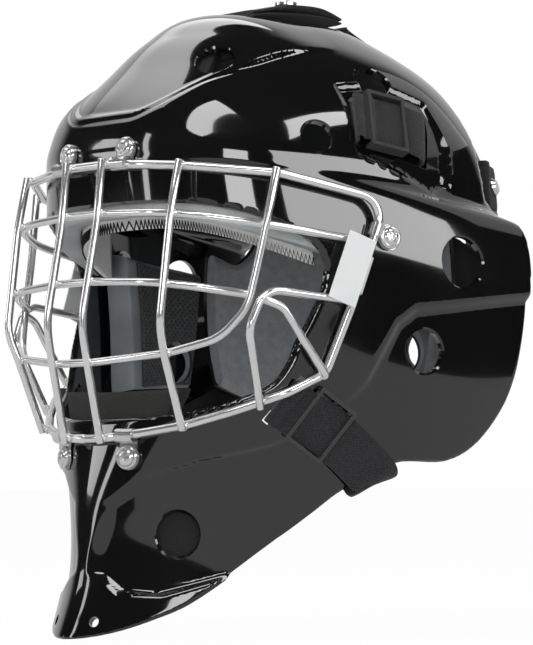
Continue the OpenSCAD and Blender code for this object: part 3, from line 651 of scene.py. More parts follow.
# Shell: a fine mesh of the CAD surface, its edges rounded over before the openings are cut
def rim_distance(p):
    """Distance of surface points from the nearest cut edge, positive on the side that stays."""
    y, z = p[..., 1], p[..., 2]
    return np.minimum(edge_depth(y, z, EDGE_LINE), -edge_depth(y, z, FACE_LINE))


def shell_grid(step, sides):
    """Even stations down the shell's side and even angles round its ears."""
    t = np.linspace(0, len(STATIONS) - 1, 1500)
    s = lengths(base_point(STATIONS, t, 50))
    stations = np.interp(np.linspace(0, s[-1], int(s[-1] / step) + 1), s, t)
    a = np.linspace(0, 360, 4000)
    s = lengths(base_point(STATIONS, 8.0, a))
    angles = np.interp(np.arange(sides) / sides * s[-1], s, a)
    return np.meshgrid(stations[1:], angles, indexing="ij")


def make_shell():
    t, a = shell_grid(1.3, 560)
    p, n = base_point(STATIONS, t, a), base_normal(STATIONS, t, a)
    rise = relief(p)
    lean = rounded(rim_distance(p + n * rise[..., None]), RIM_ROUND)
    outer = p + n * (rise - lean)[..., None]
    inner = p + n * (rise - WALL + lean)[..., None]
    crown = shell_point([0.0, 0.0], [0.0, 0.0], np.array([0, WALL]))
    rows, cols = t.shape
    count = rows * cols
    low, peak = count - cols, 2 * count
    faces = grid_faces(rows, cols, closed=True, flip=True)
    faces += grid_faces(rows, cols, closed=True, start=count)
    for k, m in zip(range(cols), [*range(1, cols), 0]):
        faces.append([peak, m, k])
        faces.append([peak + 1, count + k, count + m])
        faces.append([low + k, low + m, low + m + count, low + k + count])
    verts = np.vstack([outer.reshape(-1, 3), inner.reshape(-1, 3), crown])
    shell = new_object("mask_shell", new_mesh("mask_shell", verts, faces, outward=True))
    cut(shell, [profile_part(EDGE_LINE)], "INTERSECT")
    holes = [cylinder_part(v, v[2] / 2) for v in VENTS]
    holes += [cylinder_part(s, SCREW_HOLE_R, sides=32) for s in SCREWS]
    holes += [slot_part(*slot) for slot in SLOTS]
    holes += [chamfer_part(v) for v in VENTS[:-1]]
    cut(shell, [profile_part(FACE_LINE)] + [both(h) for h in holes])
    dress_cut(shell, SHELL, 35, "mask")
    stand_for(shell, "shell")


# Cage: each wire is a smooth tube along straight runs and round bends
FRAME_D, BAR_D = 4.2, 3.8
LEAST_REACH = 3.0
FRAME_POINTS = [
    (0, -141.8, 54), (14, -140.7, 53.4), (36, -137.4, 52), (59, -131.4, 50.3), (92.1, -101.9, 46.3),
    (108.2, -49.6, 35), (104.2, -67.8, -15.4), (98, -78, -46), (90.5, -95, -55),
    (71, -112.3, -63.5), (53.6, -125.2, -69.5), (33, -135.9, -73.1), (14, -141.2, -75.2),
    (0, -142.2, -75.5),
]
BROW_POINTS = [
    (0, -144, 31), (14, -143, 30.2), (60.65, -139.6, 28.2), (90.7, -107.1, 22.5),
    (106.35, -58.3, 15.2),
]
EYE_POINTS = [(0, -149.6, -1.8), (14, -148.8, -2.2), (60.15, -142.95, -4.2), (87.3, -114.6, -10)]
MUZZLE_POINTS = [
    (94.5, -104, 48.6), (91, -109.5, 15), (88, -116, -16), (78, -124.3, -30), (56.4, -138, -36.5),
    (14, -148.8, -40),
]
CENTRE_POINTS = [
    (13.9, -144, 56), (13.9, -146.6, 28), (13.9, -155.8, -21.4), (13.9, -151.8, -42),
    (13.9, -144.3, -77.8),
]
OUTER_POINTS = [
    (60.1, -134.1, 52.8), (60.4, -139.4, 28), (60.4, -145.5, -23.6), (57.7, -141, -36.5),
    (54.85, -127.85, -72),
]
CORNER_POINTS = [(104.3, -68.2, -12), (94, -111, -7.5), (92, -118.6, -26), (83.25, -104.6, -62.4)]
BRACE_POINTS = [(94.2, -111.5, -12.4), (97.3, -103, -15.5), (100.9, -80.2, -46.8)]
WELD_PLAY, WELD_SPACING, WELD_R, WELD_HALF = 0.25, 8, 2.35, 1.25


def bent(points, bend_r, step=radians(5)):
    """Straight runs between the points, with round bends."""
    p = np.array(points, float)
    out = [p[0]]
    for i in range(1, len(p) - 1):
        before, after = np.linalg.norm(p[i] - p[i - 1]), np.linalg.norm(p[i + 1] - p[i])
        a, b = unit(p[i] - p[i - 1]), unit(p[i + 1] - p[i])
        turn = np.arccos(np.clip(a @ b, -1, 1))
        reach = min(max(bend_r * np.tan(turn / 2), LEAST_REACH), 0.46 * min(before, after))
        r = reach / np.tan(turn / 2)
        centre = p[i] + unit(b - a) * r / np.cos(turn / 2)
        x = unit(p[i] - a * reach - centre)
        n = max(4, int(turn / step) + 1)
        angles = np.linspace(0, turn, n + 1)
        out += [centre + r * (x * np.cos(q) + a * np.sin(q)) for q in angles]
    out.append(p[-1])
    return np.array(out)


def wire_part(path, d, sides=22):
    """Tube with slightly broken end edges."""
    p = np.array(path, float)
    lead, trail = unit(p[1] - p[0]), unit(p[-2] - p[-1])
    steps = np.array([[0], [0.15], [0.5]])
    p = np.vstack([p[0] + lead * steps, p[1:-1], p[-1] + trail * steps[::-1]])
    r = np.full(len(p), d / 2)
    r[:2] = r[:-3:-1] = d / 2 - 0.5, d / 2 - 0.18
    return tube(p, r, sides)


def across(points):
    """A path from one side to the other, given from the middle out."""
    p = np.array(points, float)
    return np.vstack([p[:0:-1] * [-1, 1, 1], p[1:]])


def ball(centre, axis, radius, half, sides=16, rings=9):
    """Squashed ball: radius from its axis, half its length along it to either side."""
    q = np.linspace(0, pi, rings + 2)
    p = np.array(centre) - np.cos(q)[:, None] * np.array(axis) * half
    return tube(p, np.maximum(np.sin(q) * radius, 0.02), sides)


def dense(path, step=0.8):
    s = lengths(path)
    q = np.arange(0, s[-1], step)
    return np.column_stack([np.interp(q, s, path[:, k]) for k in range(3)])


def welds_between(a, b, a_d, b_d):
    """Beads where two wires touch, one to each crossing."""
    beads = []
    gap = np.linalg.norm(a[:, None] - b[None], axis=2)
    near = np.argwhere(gap < (a_d + b_d) / 2 + WELD_PLAY)
    while len(near):
        i, j = near[np.argmin(gap[near[:, 0], near[:, 1]])]
        p, q = a[i], b[j]
        way = unit(q - p) if gap[i, j] > 0.4 else np.array([0.0, -1, 0])
        spot = p + way * a_d / 2 if gap[i, j] > 2 else (p + q) / 2
        beads.append(ball(spot, way, WELD_R, WELD_HALF))
        near = near[np.linalg.norm(a[near[:, 0]] - p, axis=1) > WELD_SPACING]
    return beads


def make_cage():
    half_muzzle = np.array(MUZZLE_POINTS, float)
    muzzle = np.vstack([half_muzzle, half_muzzle[::-1] * [-1, 1, 1]])
    wires = {
        "cage_frame": [(bent(across(FRAME_POINTS), 11), FRAME_D)],
        "brow_bar": [(bent(across(BROW_POINTS), 60), BAR_D)],
        "eye_bar": [(bent(across(EYE_POINTS), 60), BAR_D)],
        "muzzle_bar": [(bent(muzzle, 24), BAR_D)],
    }
    for node, points, r in (
        ("centre_bars", CENTRE_POINTS, 60), ("outer_bars", OUTER_POINTS, 60),
        ("corner_bars", CORNER_POINTS, 12), ("corner_braces", BRACE_POINTS, 8),
    ):
        path = bent(points, r)
        wires[node] = [(path, BAR_D), (path * [-1, 1, 1], BAR_D)]
    runs, beads = [], []
    for node, paths in wires.items():
        part = join_parts([wire_part(p, d) for p, d in paths])
        stand_for(add_mesh(f"{node}_wire", part, CHROME), node)
        runs += [(node, dense(p), d) for p, d in paths]
    for i, (node, a, d) in enumerate(runs):
        for other, b, other_d in runs[i + 1:]:
            if node != other:
                beads += welds_between(a, b, d, other_d)
    add_mesh("cage_welds", join_parts(beads), CHROME)


# Screws: a cup washer, a domed head and a cross recess, then the shank
TAB_GAP, CLIP_T, SHANK_R, SHANK_END, CROSS_DEEP = 0.4, 1.2, 2.5, -7.2, 1.5
HEAD_PROFILE = [
    (5.75, 0), (5.75, 0.7), (5.55, 1.3), (5.1, 1.75), (4.75, 1.8), (4.5, 1.45), (4.35, 1.3),
    (4.2, 1.6), (3.9, 2.2), (3.4, 2.65), (2.8, 2.95), (2.2, 3.1), (1.7, 3.17), (1.2, 3.2),
    (0.8, 3.2), (0.4, 3.2), (0.02, 3.2),
]


def screw_part(spot, turn, sides=72):
    p, n = on_shell(spot)
    level = unit(np.cross([0, 0, 1.0], n))
    upright = np.cross(n, level)
    x, y = cos(turn) * level + sin(turn) * upright, cos(turn) * upright - sin(turn) * level
    seat = TAB_GAP + CLIP_T + 0.1
    profile = [(SHANK_R, SHANK_END), (SHANK_R, seat)] + [(r, seat + h) for r, h in HEAD_PROFILE]
    a = np.arange(sides) * 2 * pi / sides
    rings = []
    for r, h in profile:
        u, v = r * np.cos(a), r * np.sin(a)
        arm = np.minimum(np.abs(u), np.abs(v))
        cross = CROSS_DEEP * (1 - smooth(0.45, 0.85, arm)) * (1 - smooth(2.3, 2.9, r))
        rise = h - cross * (h > seat)
        rings.append(p + u[:, None] * x + v[:, None] * y + rise[:, None] * n)
    return np.vstack(rings), tube_faces(len(profile), sides)


def make_screws():
    parts = [both(screw_part(*pair)) for pair in zip(SCREWS, (0.5, 0.2, 0.9))]
    piece = add_mesh("screw_heads", join_parts(parts), STEEL, angle=50)
    stand_for(piece, "clip_screws")


# Bands of webbing
WEB_W, WEB_T = 24.0, 1.5
UPPER_PATH = [
    (4.12, 73.5, -7.5), (4.12, 73.5, -3), (4.12, 73.25, -0.4), (4.117, 72.5, 1.1),
    (4.117, 72.2, 2.3), (4.12, 72.7, 3.3), (4.125, 73.6, 3.1), (4.13, 74.3, 2.1), (4.14, 75.0, 2.2),
    (4.15, 75.7, 3.0), (4.16, 76.5, 2.8), (4.17, 77.2, 1.9), (4.18, 78.2, 1.55), (4.2, 80.8, 1.55),
    (4.24, 84.6, 1.55), (4.3, 87.4, 1.3), (4.34, 88.7, 0.3), (4.36, 89.3, -1.8), (4.36, 89.45, -5),
    (4.36, 89.6, -8),
]
LOWER_PATH = [
    (10.36, 45.75, -5.6), (10.36, 45.75, -2.4), (10.36, 45.6, 0.2), (10.36, 45.2, 1.8),
    (10.38, 45.5, 3.3), (10.42, 46.5, 3.7), (10.47, 47.4, 2.8), (10.51, 48.2, 2.8),
    (10.56, 49.0, 3.9), (10.6, 49.9, 4.5), (10.64, 50.7, 4.0), (10.68, 51.6, 3.7),
    (10.78, 53.8, 3.7), (10.94, 56.4, 3.7), (11.16, 59.8, 3), (11.36, 62.9, 2.2),
    (11.52, 65.3, 1.9),
]
LOWER_HEM = np.array([(0.1, 2.0, -3.4), (-2.6, 2.4, -4.3), (-5.9, 2.4, -3), (-7.2, 3, 1.2)])
HEM_FOLD = unit([0.39, 0.83, 0.4])
SIDE_PATH = [(4.37, 90.2, -10), (4.45, 93, -11.5), (4.7, 99, -11.5), (5.0, 105, -11.8)]
SIDE_ON_PLATE = [(4.25, 114, 3.9), (4.28, 118, 2.5), (4.33, 125, 2.5)]
NECK_START, NECK_DIP = np.array([(-8.2, 4.6, 4.4), (-9, 12, 12)]), [0, -8, -6]
NECK_ON_PLATE = [(8.2, 96.0, 6.4), (8.0, 103, 4.6), (7.8, 109, 3.3), (7.6, 117, 3.3)]
TOP_PATH = [
    (-55, 132.8), (-48, 133.9), (-39, 135), (-26, 135.8), (-13, 135.8), (-5, 135), (2, 133.6),
]
TOP_HUMP = np.array([0.1, 0.3, 1.2, 2.2, 2.2, 1.3, 0.2])
TOP_W, HINGE_W = 35, 34


def band(centres, widths, width, thick, cols=9):
    """Closed strip along the centres; widths are directions across it. Vertices, faces and UVs."""
    c, w = spline(centres, 5), unit(spline(widths, 5))
    way = tangents(c)
    n = unit(np.cross(w, way))
    w = unit(np.cross(way, n))
    q = np.linspace(-1, 1, cols)
    lip = 0.5 * thick * (1 - 0.55 * np.abs(q) ** 12)
    aside = np.concatenate([q, q[::-1]]) * width / 2
    lift = np.concatenate([lip, -lip[::-1]])
    verts = c[:, None] + w[:, None] * aside[None, :, None] + n[:, None] * lift[None, :, None]
    uv = np.stack(np.broadcast_arrays(aside[None, :], lengths(c)[:, None]), -1)
    return verts.reshape(-1, 3), tube_faces(len(c), 2 * cols), uv.reshape(-1, 2)


def make_straps():
    w = [width_at(q, UPPER_WAY) for q in UPPER_PATH]
    part = band(laid(STATIONS, UPPER_PATH), w, WEB_W, WEB_T)
    stand_for(add_soft("upper_webbing", [part, mirrored(part)], WEBBING), "upper_straps")

    hem = base_point(STATIONS, *LOWER_END)
    c = laid(STATIONS, LOWER_PATH) + [hem + q for q in LOWER_HEM]
    n = len(LOWER_PATH)
    w = []
    for i in range(len(c)):
        m = smooth(n - 5, n - 1, i)
        flat = width_at(LOWER_PATH[min(i, n - 1)], LOWER_WAY)
        w.append(unit((1 - m) * flat + m * HEM_FOLD))
    part = band(c, w, WEB_W, WEB_T)
    stand_for(add_soft("lower_webbing", [part, mirrored(part)], WEBBING), "lower_straps")

    c = laid(STATIONS, SIDE_PATH) + laid(PLATE_STATIONS, SIDE_ON_PLATE)
    part = band(c, [width_at(UPPER_END, UPPER_WAY)] * len(c), WEB_W - 2, WEB_T)
    piece = add_soft("side_elastic_bands", [part, mirrored(part)], ELASTIC, body=None)
    stand_for(piece, "side_elastics")
    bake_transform(piece)

    c = [hem + q for q in NECK_START] + laid(PLATE_STATIONS, NECK_ON_PLATE)
    c[2] = c[2] + NECK_DIP
    near, far = unit([0.39, 0.6, 0.7]), unit([0.2, 0.5, 0.84])
    w = [unit((1 - m) * near + m * far) for m in np.linspace(0, 1, len(c))]
    part = band(c, w, WEB_W - 4, WEB_T)
    piece = add_soft("neck_elastic_bands", [part, mirrored(part)], ELASTIC, body=None)
    stand_for(piece, "neck_elastics")
    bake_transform(piece)


def make_top():
    """The crown's two-layer strap, and the hinge strap behind it."""
    lower = np.array([(0, y, z - 1.2) for y, z in TOP_PATH], float)
    upper = lower + np.column_stack([0 * TOP_HUMP, 0 * TOP_HUMP, 1.7 + TOP_HUMP])
    w = [[-1.0, 0, 0]] * len(lower)
    layers = [band(lower, w, TOP_W, 1.6, 13), band(upper, w, TOP_W, 1.9, 13)]
    stand_for(add_soft("top_strap_layers", layers, WEBBING), "top_strap")
    c = [(0, 5.5, 130.8), (0, 9, 128.2)]
    c += laid(PLATE_STATIONS, [(t, 180.0, 2.0) for t in (1.25, 1.6, 2)])
    part = band(c, [[-1.0, 0, 0]] * len(c), HINGE_W, WEB_T, 13)
    piece = add_soft("hinge_webbing", [part], WEBBING, body="rear_plate")
    stand_for(piece, "hinge_strap")


# Pads: a slab between an outer and an inner patch, its rims rounded and its sides drawn in
SEAT, SIDE_SEAT, CROWN_SEAT = WALL + 0.5, WALL + RECESS_DEEP + 0.15, WALL - PANEL_RISE + 0.5
FOREHEAD_FOAM, CHEEK_FOAM, CROWN_FOAM, JAW_FOAM, VENT_FOAM = 13.0, 16.0, 10.0, 10.0, 4.0
SOFT_GAP, BAND_T, LINER_T = 0.3, 3.0, 2.0
BAND_SEAT, LINER_SEAT = SEAT + FOREHEAD_FOAM + SOFT_GAP, SIDE_SEAT + CHEEK_FOAM + SOFT_GAP
FOREHEAD_EDGE, BAND_EDGE = 58, 54
BAND_TOP, BAND_LOW, BAND_DROOP = 6.7, 7.9, 0.42
VENT_CHANNEL, CHANNEL_REACH = 21.6, 34
STITCHES, THREAD_R = 110, 0.42
RIM_ROWS = 5

# Corners of the pads on one side of the middle or across it: station, degrees from the front
CROWN_CORNERS = [(1.5, -34), (1.5, 34), (4.1, 24), (4.1, -24)]
TEMPLE_CORNERS = [(5.3, 61), (5.3, 79), (6.9, 81), (6.9, 63.5)]
CHEEK_OUTER = [(7.75, 61), (7.75, 74), (9.05, 70), (10.1, 61)]
CHEEK_INNER = [(7.8, 60), (7.8, 81), (10, 78), (10.1, 60)]
LINER_CORNERS = [(7.85, 63), (7.85, 80.5), (9.95, 77.5), (10.05, 63)]
JAW_CORNERS = [(10.2, 51), (10.2, 70), (11.1, 63.5), (11.3, 50)]
JAW_VENT_CORNERS = [(11.77, 22.4), (11.77, 34.8), (12.95, 34.8), (12.95, 22.4)]
CHIN_CORNERS = [(10.15, -21), (10.15, 21), (11.3, 17), (11.3, -17)]


def slab(outer, inner, rounding, nu=26, nv=26, draw=0.02, power=12):
    """Closed pad; outer and inner turn u, v from 0 to 1 and some more depth into points."""
    even = [0.5 - 0.5 * np.cos(pi * np.arange(n) / (n - 1)) for n in (nu, nv)]
    u, v = np.meshgrid(*even, indexing="ij")
    pull_u = 0.5 + (u - 0.5) * (1 - draw * (1 - (2 * v - 1) ** 2))
    pull_v = 0.5 + (v - 0.5) * (1 - draw * (1 - (2 * u - 1) ** 2))
    f = (1 - np.abs(2 * u - 1) ** power) * (1 - np.abs(2 * v - 1) ** power)
    lean = rounding * (1 - np.clip(f, 0, 1) ** 0.45)
    a, b = outer(pull_u, pull_v, lean * 0.3), inner(pull_u, pull_v, -lean * 0.7)
    size_u = np.linalg.norm(b[-1, nv // 2] - b[0, nv // 2])
    size_v = np.linalg.norm(b[nu // 2, -1] - b[nu // 2, 0])
    flat = np.stack([u * size_u, v * size_v], -1).reshape(-1, 2)

    verts, uv, rim = [a.reshape(-1, 3), b.reshape(-1, 3)], [flat, flat], rim_of(nu, nv)
    rim_a, rim_b = verts[0][rim], verts[1][rim]
    middle = (rim_a + rim_b).mean(axis=0) / 2
    count = nu * nv
    loops = [rim]
    for k in range(1, RIM_ROWS):
        m = k / RIM_ROWS
        loop = rim_a * (1 - m) + rim_b * m
        verts.append(loop + unit(loop - middle) * rounding * 0.18 * sin(pi * m))
        uv.append(flat[rim] + [k, 0])
        loops.append(2 * count + (k - 1) * len(rim) + np.arange(len(rim)))
    loops.append(rim + count)
    faces = grid_faces(nu, nv) + grid_faces(nu, nv, start=count, flip=True)
    for pair in zip(loops[:-1], loops[1:]):
        faces += stitch(*pair)
    return np.vstack(verts), faces, np.vstack(uv)


def corner_patch(corners, depth):
    k = np.array(corners, float)

    def place(u, v, more):
        u, v = u[..., None], v[..., None]
        q = (1 - u) * ((1 - v) * k[0] + v * k[1]) + u * ((1 - v) * k[3] + v * k[2])
        return over(STATIONS, q[..., 0], q[..., 1], -(depth + more))

    return place


def brow_patch(top, low, droop, edge, depth):
    def place(u, v, more):
        s = 2 * v - 1
        t = top + (low + droop * s**2 - top) * u
        return over(STATIONS, t, edge * s, -(depth + more))

    return place


def even_pad(patch, shape, seat, thick, *form, **more):
    """Pad of one thickness under a patch."""
    return slab(patch(*shape, seat), patch(*shape, seat + thick), *form, **more)


def add_pad(name, node, part, material, sides=True):
    parts = [part, mirrored(part)] if sides else [part]
    piece = add_soft(name, parts, material, angle=50, outward=True)
    stand_for(piece, node)
    return piece


def make_pads():
    part = even_pad(
        brow_patch, (5.7, 7.74, 0.43, FOREHEAD_EDGE), SEAT, FOREHEAD_FOAM, 2.6, 22, 70, 0.0,
    )
    add_pad("forehead_foam", "forehead_pad", part, FOAM_PALE, sides=False)
    shape = (BAND_TOP, BAND_LOW, BAND_DROOP, BAND_EDGE)
    part = even_pad(brow_patch, shape, BAND_SEAT, BAND_T, 1.0, 16, 110, 0.0)
    add_pad("sweatband_terry", "sweatband", part, TERRY, sides=False)
    part = even_pad(corner_patch, (CROWN_CORNERS,), CROWN_SEAT, CROWN_FOAM, 3, 20, 30)
    add_pad("crown_foam", "crown_pad", part, FOAM_BLACK, sides=False)
    part = even_pad(corner_patch, (TEMPLE_CORNERS,), SEAT + 0.5, FOREHEAD_FOAM - 1, 3)
    add_pad("temple_foam", "temple_pads", part, FOAM_BLACK)
    outer = corner_patch(CHEEK_OUTER, SIDE_SEAT)
    inner = corner_patch(CHEEK_INNER, SIDE_SEAT + CHEEK_FOAM)
    part = slab(outer, inner, 2.0, 34, 30, 0.0, power=30)
    pads = add_pad("cheek_foam", "cheek_pads", part, FOAM_GREY)
    part = even_pad(corner_patch, (LINER_CORNERS,), LINER_SEAT, LINER_T, 0.8, 40, 36)
    lining = add_pad("cheek_lining", "cheek_liners", part, MESH)
    for piece in (pads, lining):
        cut(piece, [both(cylinder_part(VENTS[1], VENT_CHANNEL / 2, CHANNEL_REACH))])
    part = even_pad(corner_patch, (JAW_CORNERS,), SIDE_SEAT + 0.25, JAW_FOAM, 2.5)
    add_pad("jaw_foam", "jaw_pads", part, FOAM_BROWN)
    part = even_pad(corner_patch, (JAW_VENT_CORNERS,), SIDE_SEAT + 0.25, VENT_FOAM, 1.2, 16, 16)
    add_pad("jaw_vent_foam", "jaw_vent_pads", part, FOAM_BLACK)
    part = even_pad(corner_patch, (CHIN_CORNERS,), SEAT, JAW_FOAM + 3, 3, 24, 34)
    add_pad("chin_foam", "chin_pad", part, FOAM_BROWN, sides=False)


def make_overlock():
    """Black thread sewn in a zigzag over the sweatband's lower edge."""
    points = []
    for i in range(STITCHES * 2 + 1):
        s = -1 + 2 * i / (STITCHES * 2)
        t = BAND_LOW + BAND_DROOP * s**2
        up, depth = (0.01, BAND_SEAT - 0.1) if i % 2 else (-0.12, BAND_SEAT - 0.4)
        points.append(over(STATIONS, t + up, BAND_EDGE * s, -depth))
    piece = add_mesh("sweatband_stitching", tube(points, THREAD_R, 5), THREAD)


# Back plate and its lining: open patches made solid, their rims rounded, then cut to the outline
PLATE_WALL, PLATE_FOAM = 2.6, 8.0
PLATE_HOLES = [(21, 21, 13), (14.5, -26.5, 10)]


def plate_edge(p):
    """Distance of surface points from the plate's edges, positive on the side that stays."""
    d = edge_depth(p[..., 1], p[..., 2], PLATE_LINE)
    for x, z, r in PLATE_HOLES:
        d = np.minimum(d, np.hypot(np.abs(p[..., 0]) - x, p[..., 2] - z) - r)
    return d


def plate_solid(name, outer, inner, rounding, material, hole_play, belly=0.0):
    rows, cols = ((130, 210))
    t, a = np.meshgrid(np.linspace(1.05, 9, rows), np.linspace(95, 265, cols), indexing="ij")
    p, n = base_point(PLATE_STATIONS, t, a), base_normal(PLATE_STATIONS, t, a)
    d = plate_edge(p)
    lean, swell = rounded(d, rounding), belly * smooth(0, 22, d)
    top = p - n * (outer + 0.5 * lean)[..., None]
    under = p - n * (inner - lean + swell)[..., None]
    count, rim = rows * cols, rim_of(rows, cols)
    faces = grid_faces(rows, cols) + grid_faces(rows, cols, start=count, flip=True)
    faces += stitch(rim, rim + count)
    verts = np.vstack([top.reshape(-1, 3), under.reshape(-1, 3)])
    obj = new_object(name, new_mesh(name, verts, faces, outward=True))
    cut(obj, [profile_part(PLATE_LINE)], "INTERSECT")
    holes = [tube([(x, 40, z), (x, 120, z)], r + hole_play, 64) for x, z, r in PLATE_HOLES]
    cut(obj, [both(h) for h in holes])
    dress_cut(obj, material, 40, "rear_plate")
    return obj


def make_plate():
    plate = plate_solid("back_plate_moulding", 0.0, PLATE_WALL, 1.0, PLATE, 0.0)
    stand_for(plate, "back_plate")
    seat = PLATE_WALL + SOFT_GAP
    foot = seat + PLATE_FOAM - 1
    lining = plate_solid("back_plate_lining", seat, foot, 3.0, LINING, 0.5, belly=1.0)
    stand_for(lining, "back_plate_pad")


# Finishes of the CAD pieces that stay, their sharp edges broken
KEPT = [
    ("forehead_clips", STEEL, 0.3), ("chin_clips", STEEL, 0.3), ("side_clips", STEEL, 0.3),
    ("clip_nuts", STEEL, 0.2), ("strap_snap", STEEL, 0.2), ("plate_rivets", STEEL, 0.3),
    ("cage_tags", TAG, 0.15),
    ("upper_slider_left", SLIDER, 0.5), ("upper_slider_right", SLIDER, 0.5),
    ("lower_slider_left", SLIDER, 0.5), ("lower_slider_right", SLIDER, 0.5),
]


def finish_kept():
    for name, finish, edge in KEPT:
        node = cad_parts[name]
        node.data.materials.clear()
        node.data.materials.append(finish)
        worn = node.modifiers.new("worn_edges", "BEVEL")
        worn.width = edge * MM
        worn.segments = 3
        worn.limit_method = "ANGLE"
        worn.angle_limit = radians(35)


# Camera: the photograph's view, worked out in its pixels from the object's axis
PHOTO_WIDTH, FOCAL, SENSOR = 533.0, 3200.0, 36
AZIMUTH, DISTANCE = radians(49.5), 1600.0
LOOK_ASIDE, LOOK_UP, EYE_LOW = 49.5, 151.5, 184.0


def make_camera():
    pitch, yaw = np.arctan2(LOOK_UP, FOCAL), np.arctan2(LOOK_ASIDE, FOCAL)
    ahead = np.array([-sin(AZIMUTH), cos(AZIMUTH), 0])
    right = np.array([cos(AZIMUTH), sin(AZIMUTH), 0])
    place = -ahead * DISTANCE - [0, 0, DISTANCE * EYE_LOW / FOCAL]
    ahead, right = ahead * cos(yaw) - right * sin(yaw), right * cos(yaw) + ahead * sin(yaw)
    up = np.array([0, 0, 1.0])
    look = cos(pitch) * ahead + sin(pitch) * up
    up = cos(pitch) * up - sin(pitch) * ahead
    data = bpy.data.cameras.new("camera")
    data.sensor_fit = "HORIZONTAL"
    data.sensor_width = SENSOR
    data.lens = FOCAL / PHOTO_WIDTH * SENSOR
    data.clip_end = 60
    camera = new_object("camera", data)
    rows = np.column_stack([right, up, -look, place * MM]).tolist()
    camera.matrix_world = Matrix(rows + [[0, 0, 0, 1]])
    bpy.context.scene.camera = camera


# Stage, in metres: pale floor, white background, dark studio overhead with softboxes
def around(az, el, distance):
    az, el = radians(az), radians(el)
    return Vector((sin(az) * cos(el), -cos(az) * cos(el), sin(el))) * distance


FLOOR_REACH = 12.0
VIEW_WAY = Vector((-0.76, 0.65, 0)).normalized()
CAMERA_FLOOR, MIRROR_FLOOR, MIRROR_BACK, MIRROR_DARK, AMBIENT = 0.97, 0.55, 0.6, 0.02, 0.35
WHITE, FLOOR_COLOUR = (1, 1, 1, 1), (0.9, 0.9, 0.9, 1)
FADE = (1.6, 0.3)

# Name, place, target, width, height, watts, and whether it shows in reflections or lights surfaces
LAMPS = [
    ("overhead", (-0.96, -0.12, 1.0), (-0.96, -0.12, 0), 1.08, 1.3, 6.8, True),
    ("temple_strip", (0.74, 0.2, 1.0), (0.74, 0.2, 0), 0.34, 0.5, 3.4, True),
    ("sickle_strip", (0.36, -0.86, 1.0), (0.36, -0.86, 0), 0.32, 1.1, 7, True),
    ("side_wall", around(98, 16, 2.2), (0, 0, 0), 2.4, 0.6, 22, True),
    ("rear_high", around(160, 40, 2.2), (0, 0, 0), 1.8, 1.2, 4, True),
    ("front_slit", around(-26, 10, 2.0), (0, 0, 0), 0.14, 0.9, 1.8, True),
    ("front_corner", around(-44, 11, 2.0), (0, 0, 0), 0.5, 0.3, 1.6, True),
    ("jaw_box", around(43, 9, 2.0), (0, 0, 0), 0.6, 0.26, 3.2, True),
    ("key", around(-10, 55, 2.0), (0, -0.05, 0), 1.4, 1.0, 26, False),
    ("camera_fill", around(44, 6, 2.3), (0, -0.05, 0), 1.5, 1.2, 22, False),
]


def softbox(name, place, target, width, height, power, glossy):
    data = bpy.data.lights.new(name, "AREA")
    data.shape = "RECTANGLE"
    data.size = width
    data.size_y = height
    data.energy = power
    lamp = new_object(name, data)
    lamp.location = place
    lamp.rotation_euler = (Vector(place) - Vector(target)).to_track_quat("Z", "Y").to_euler()
    lamp.visible_glossy = glossy
    lamp.visible_diffuse = not glossy
    return data


def fade_across(data, low, high):
    """A softbox whose strength changes from one side to the other."""
    data.use_nodes = True
    tree = data.node_tree
    place = add_node(tree, "ShaderNodeTexCoord").outputs["UV"]
    split = add_node(tree, "ShaderNodeSeparateXYZ", {"Vector": place})
    strength = map_range(tree, split.outputs["X"], 0.0, 1.0, low, high)
    put(tree.nodes["Emission"], {"Strength": strength})


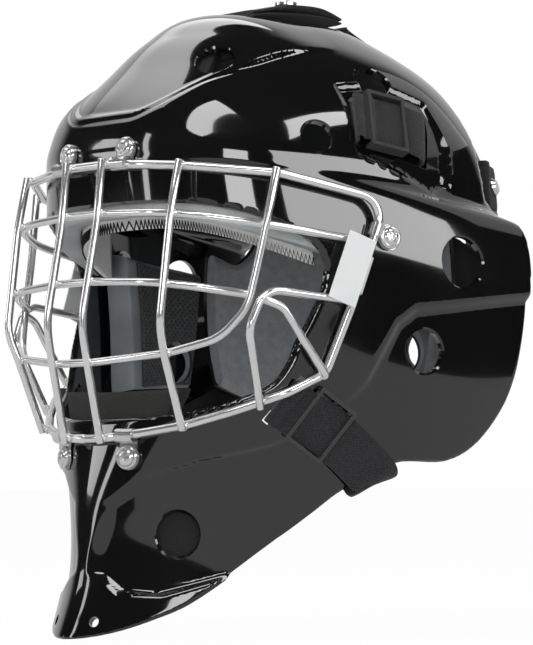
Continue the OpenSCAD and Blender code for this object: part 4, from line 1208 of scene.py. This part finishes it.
def light_paths(tree, plain, mirrors, seen, camera_share, output):
    """One shader for plain light, one in mirrors and one for the camera."""
    rays = add_node(tree, "ShaderNodeLightPath").outputs
    mirror = math_node(tree, "MAXIMUM", rays["Is Glossy Ray"], rays["Is Transmission Ray"])
    camera = math_node(tree, "MULTIPLY", rays["Is Camera Ray"], camera_share)
    surface = plain.outputs[0]
    for share, shader in ((mirror, mirrors), (camera, seen)):
        mix = add_node(tree, "ShaderNodeMixShader", {0: share, 1: surface, 2: shader.outputs[0]})
        surface = mix.outputs[0]
    put(tree.nodes[output], {"Surface": surface})


def make_floor():
    mesh = bpy.data.meshes.new("floor")
    corners = [(x * FLOOR_REACH, y * FLOOR_REACH, cad_box[0][2]) for x, y in SQUARE]
    mesh.from_pydata(corners, [], [[0, 1, 2, 3]])
    floor = new_object("floor", mesh)
    material, tree, shader = nodes_of("floor_pale")
    put(shader, {"Base Color": FLOOR_COLOUR, "Roughness": 0.9, "Specular IOR Level": 0.0})
    white = add_node(tree, "ShaderNodeEmission")
    pale = add_node(tree, "ShaderNodeEmission", {"Strength": MIRROR_FLOOR})
    light_paths(tree, shader, pale, white, CAMERA_FLOOR, "Material Output")
    mesh.materials.append(material)


def make_world():
    world = bpy.data.worlds.new("studio")
    bpy.context.scene.world = world
    world.use_nodes = True
    tree = world.node_tree
    ambient = tree.nodes["Background"]
    put(ambient, {"Color": WHITE, "Strength": AMBIENT})
    facing = add_node(tree, "ShaderNodeVectorMath")
    facing.operation = "DOT_PRODUCT"
    put(facing, {0: add_node(tree, "ShaderNodeTexCoord").outputs["Generated"], 1: VIEW_WAY})
    turned = facing.outputs["Value"]
    backdrop = map_range(tree, turned, 0.55, 0.75, MIRROR_DARK, MIRROR_BACK, "SMOOTHSTEP")
    room = add_node(tree, "ShaderNodeBackground", {"Color": WHITE, "Strength": backdrop})
    white = add_node(tree, "ShaderNodeBackground", {"Color": WHITE})
    light_paths(tree, ambient, room, white, 1.0, "World Output")


make_camera()
make_shell()
make_cage()
make_screws()
make_straps()
make_top()
make_pads()
make_overlock()
make_plate()
finish_kept()
make_floor()
make_world()
boxes = {lamp[0]: softbox(*lamp) for lamp in LAMPS}
fade_across(boxes["overhead"], *FADE)
bpy.context.scene.view_settings.view_transform = "Standard"
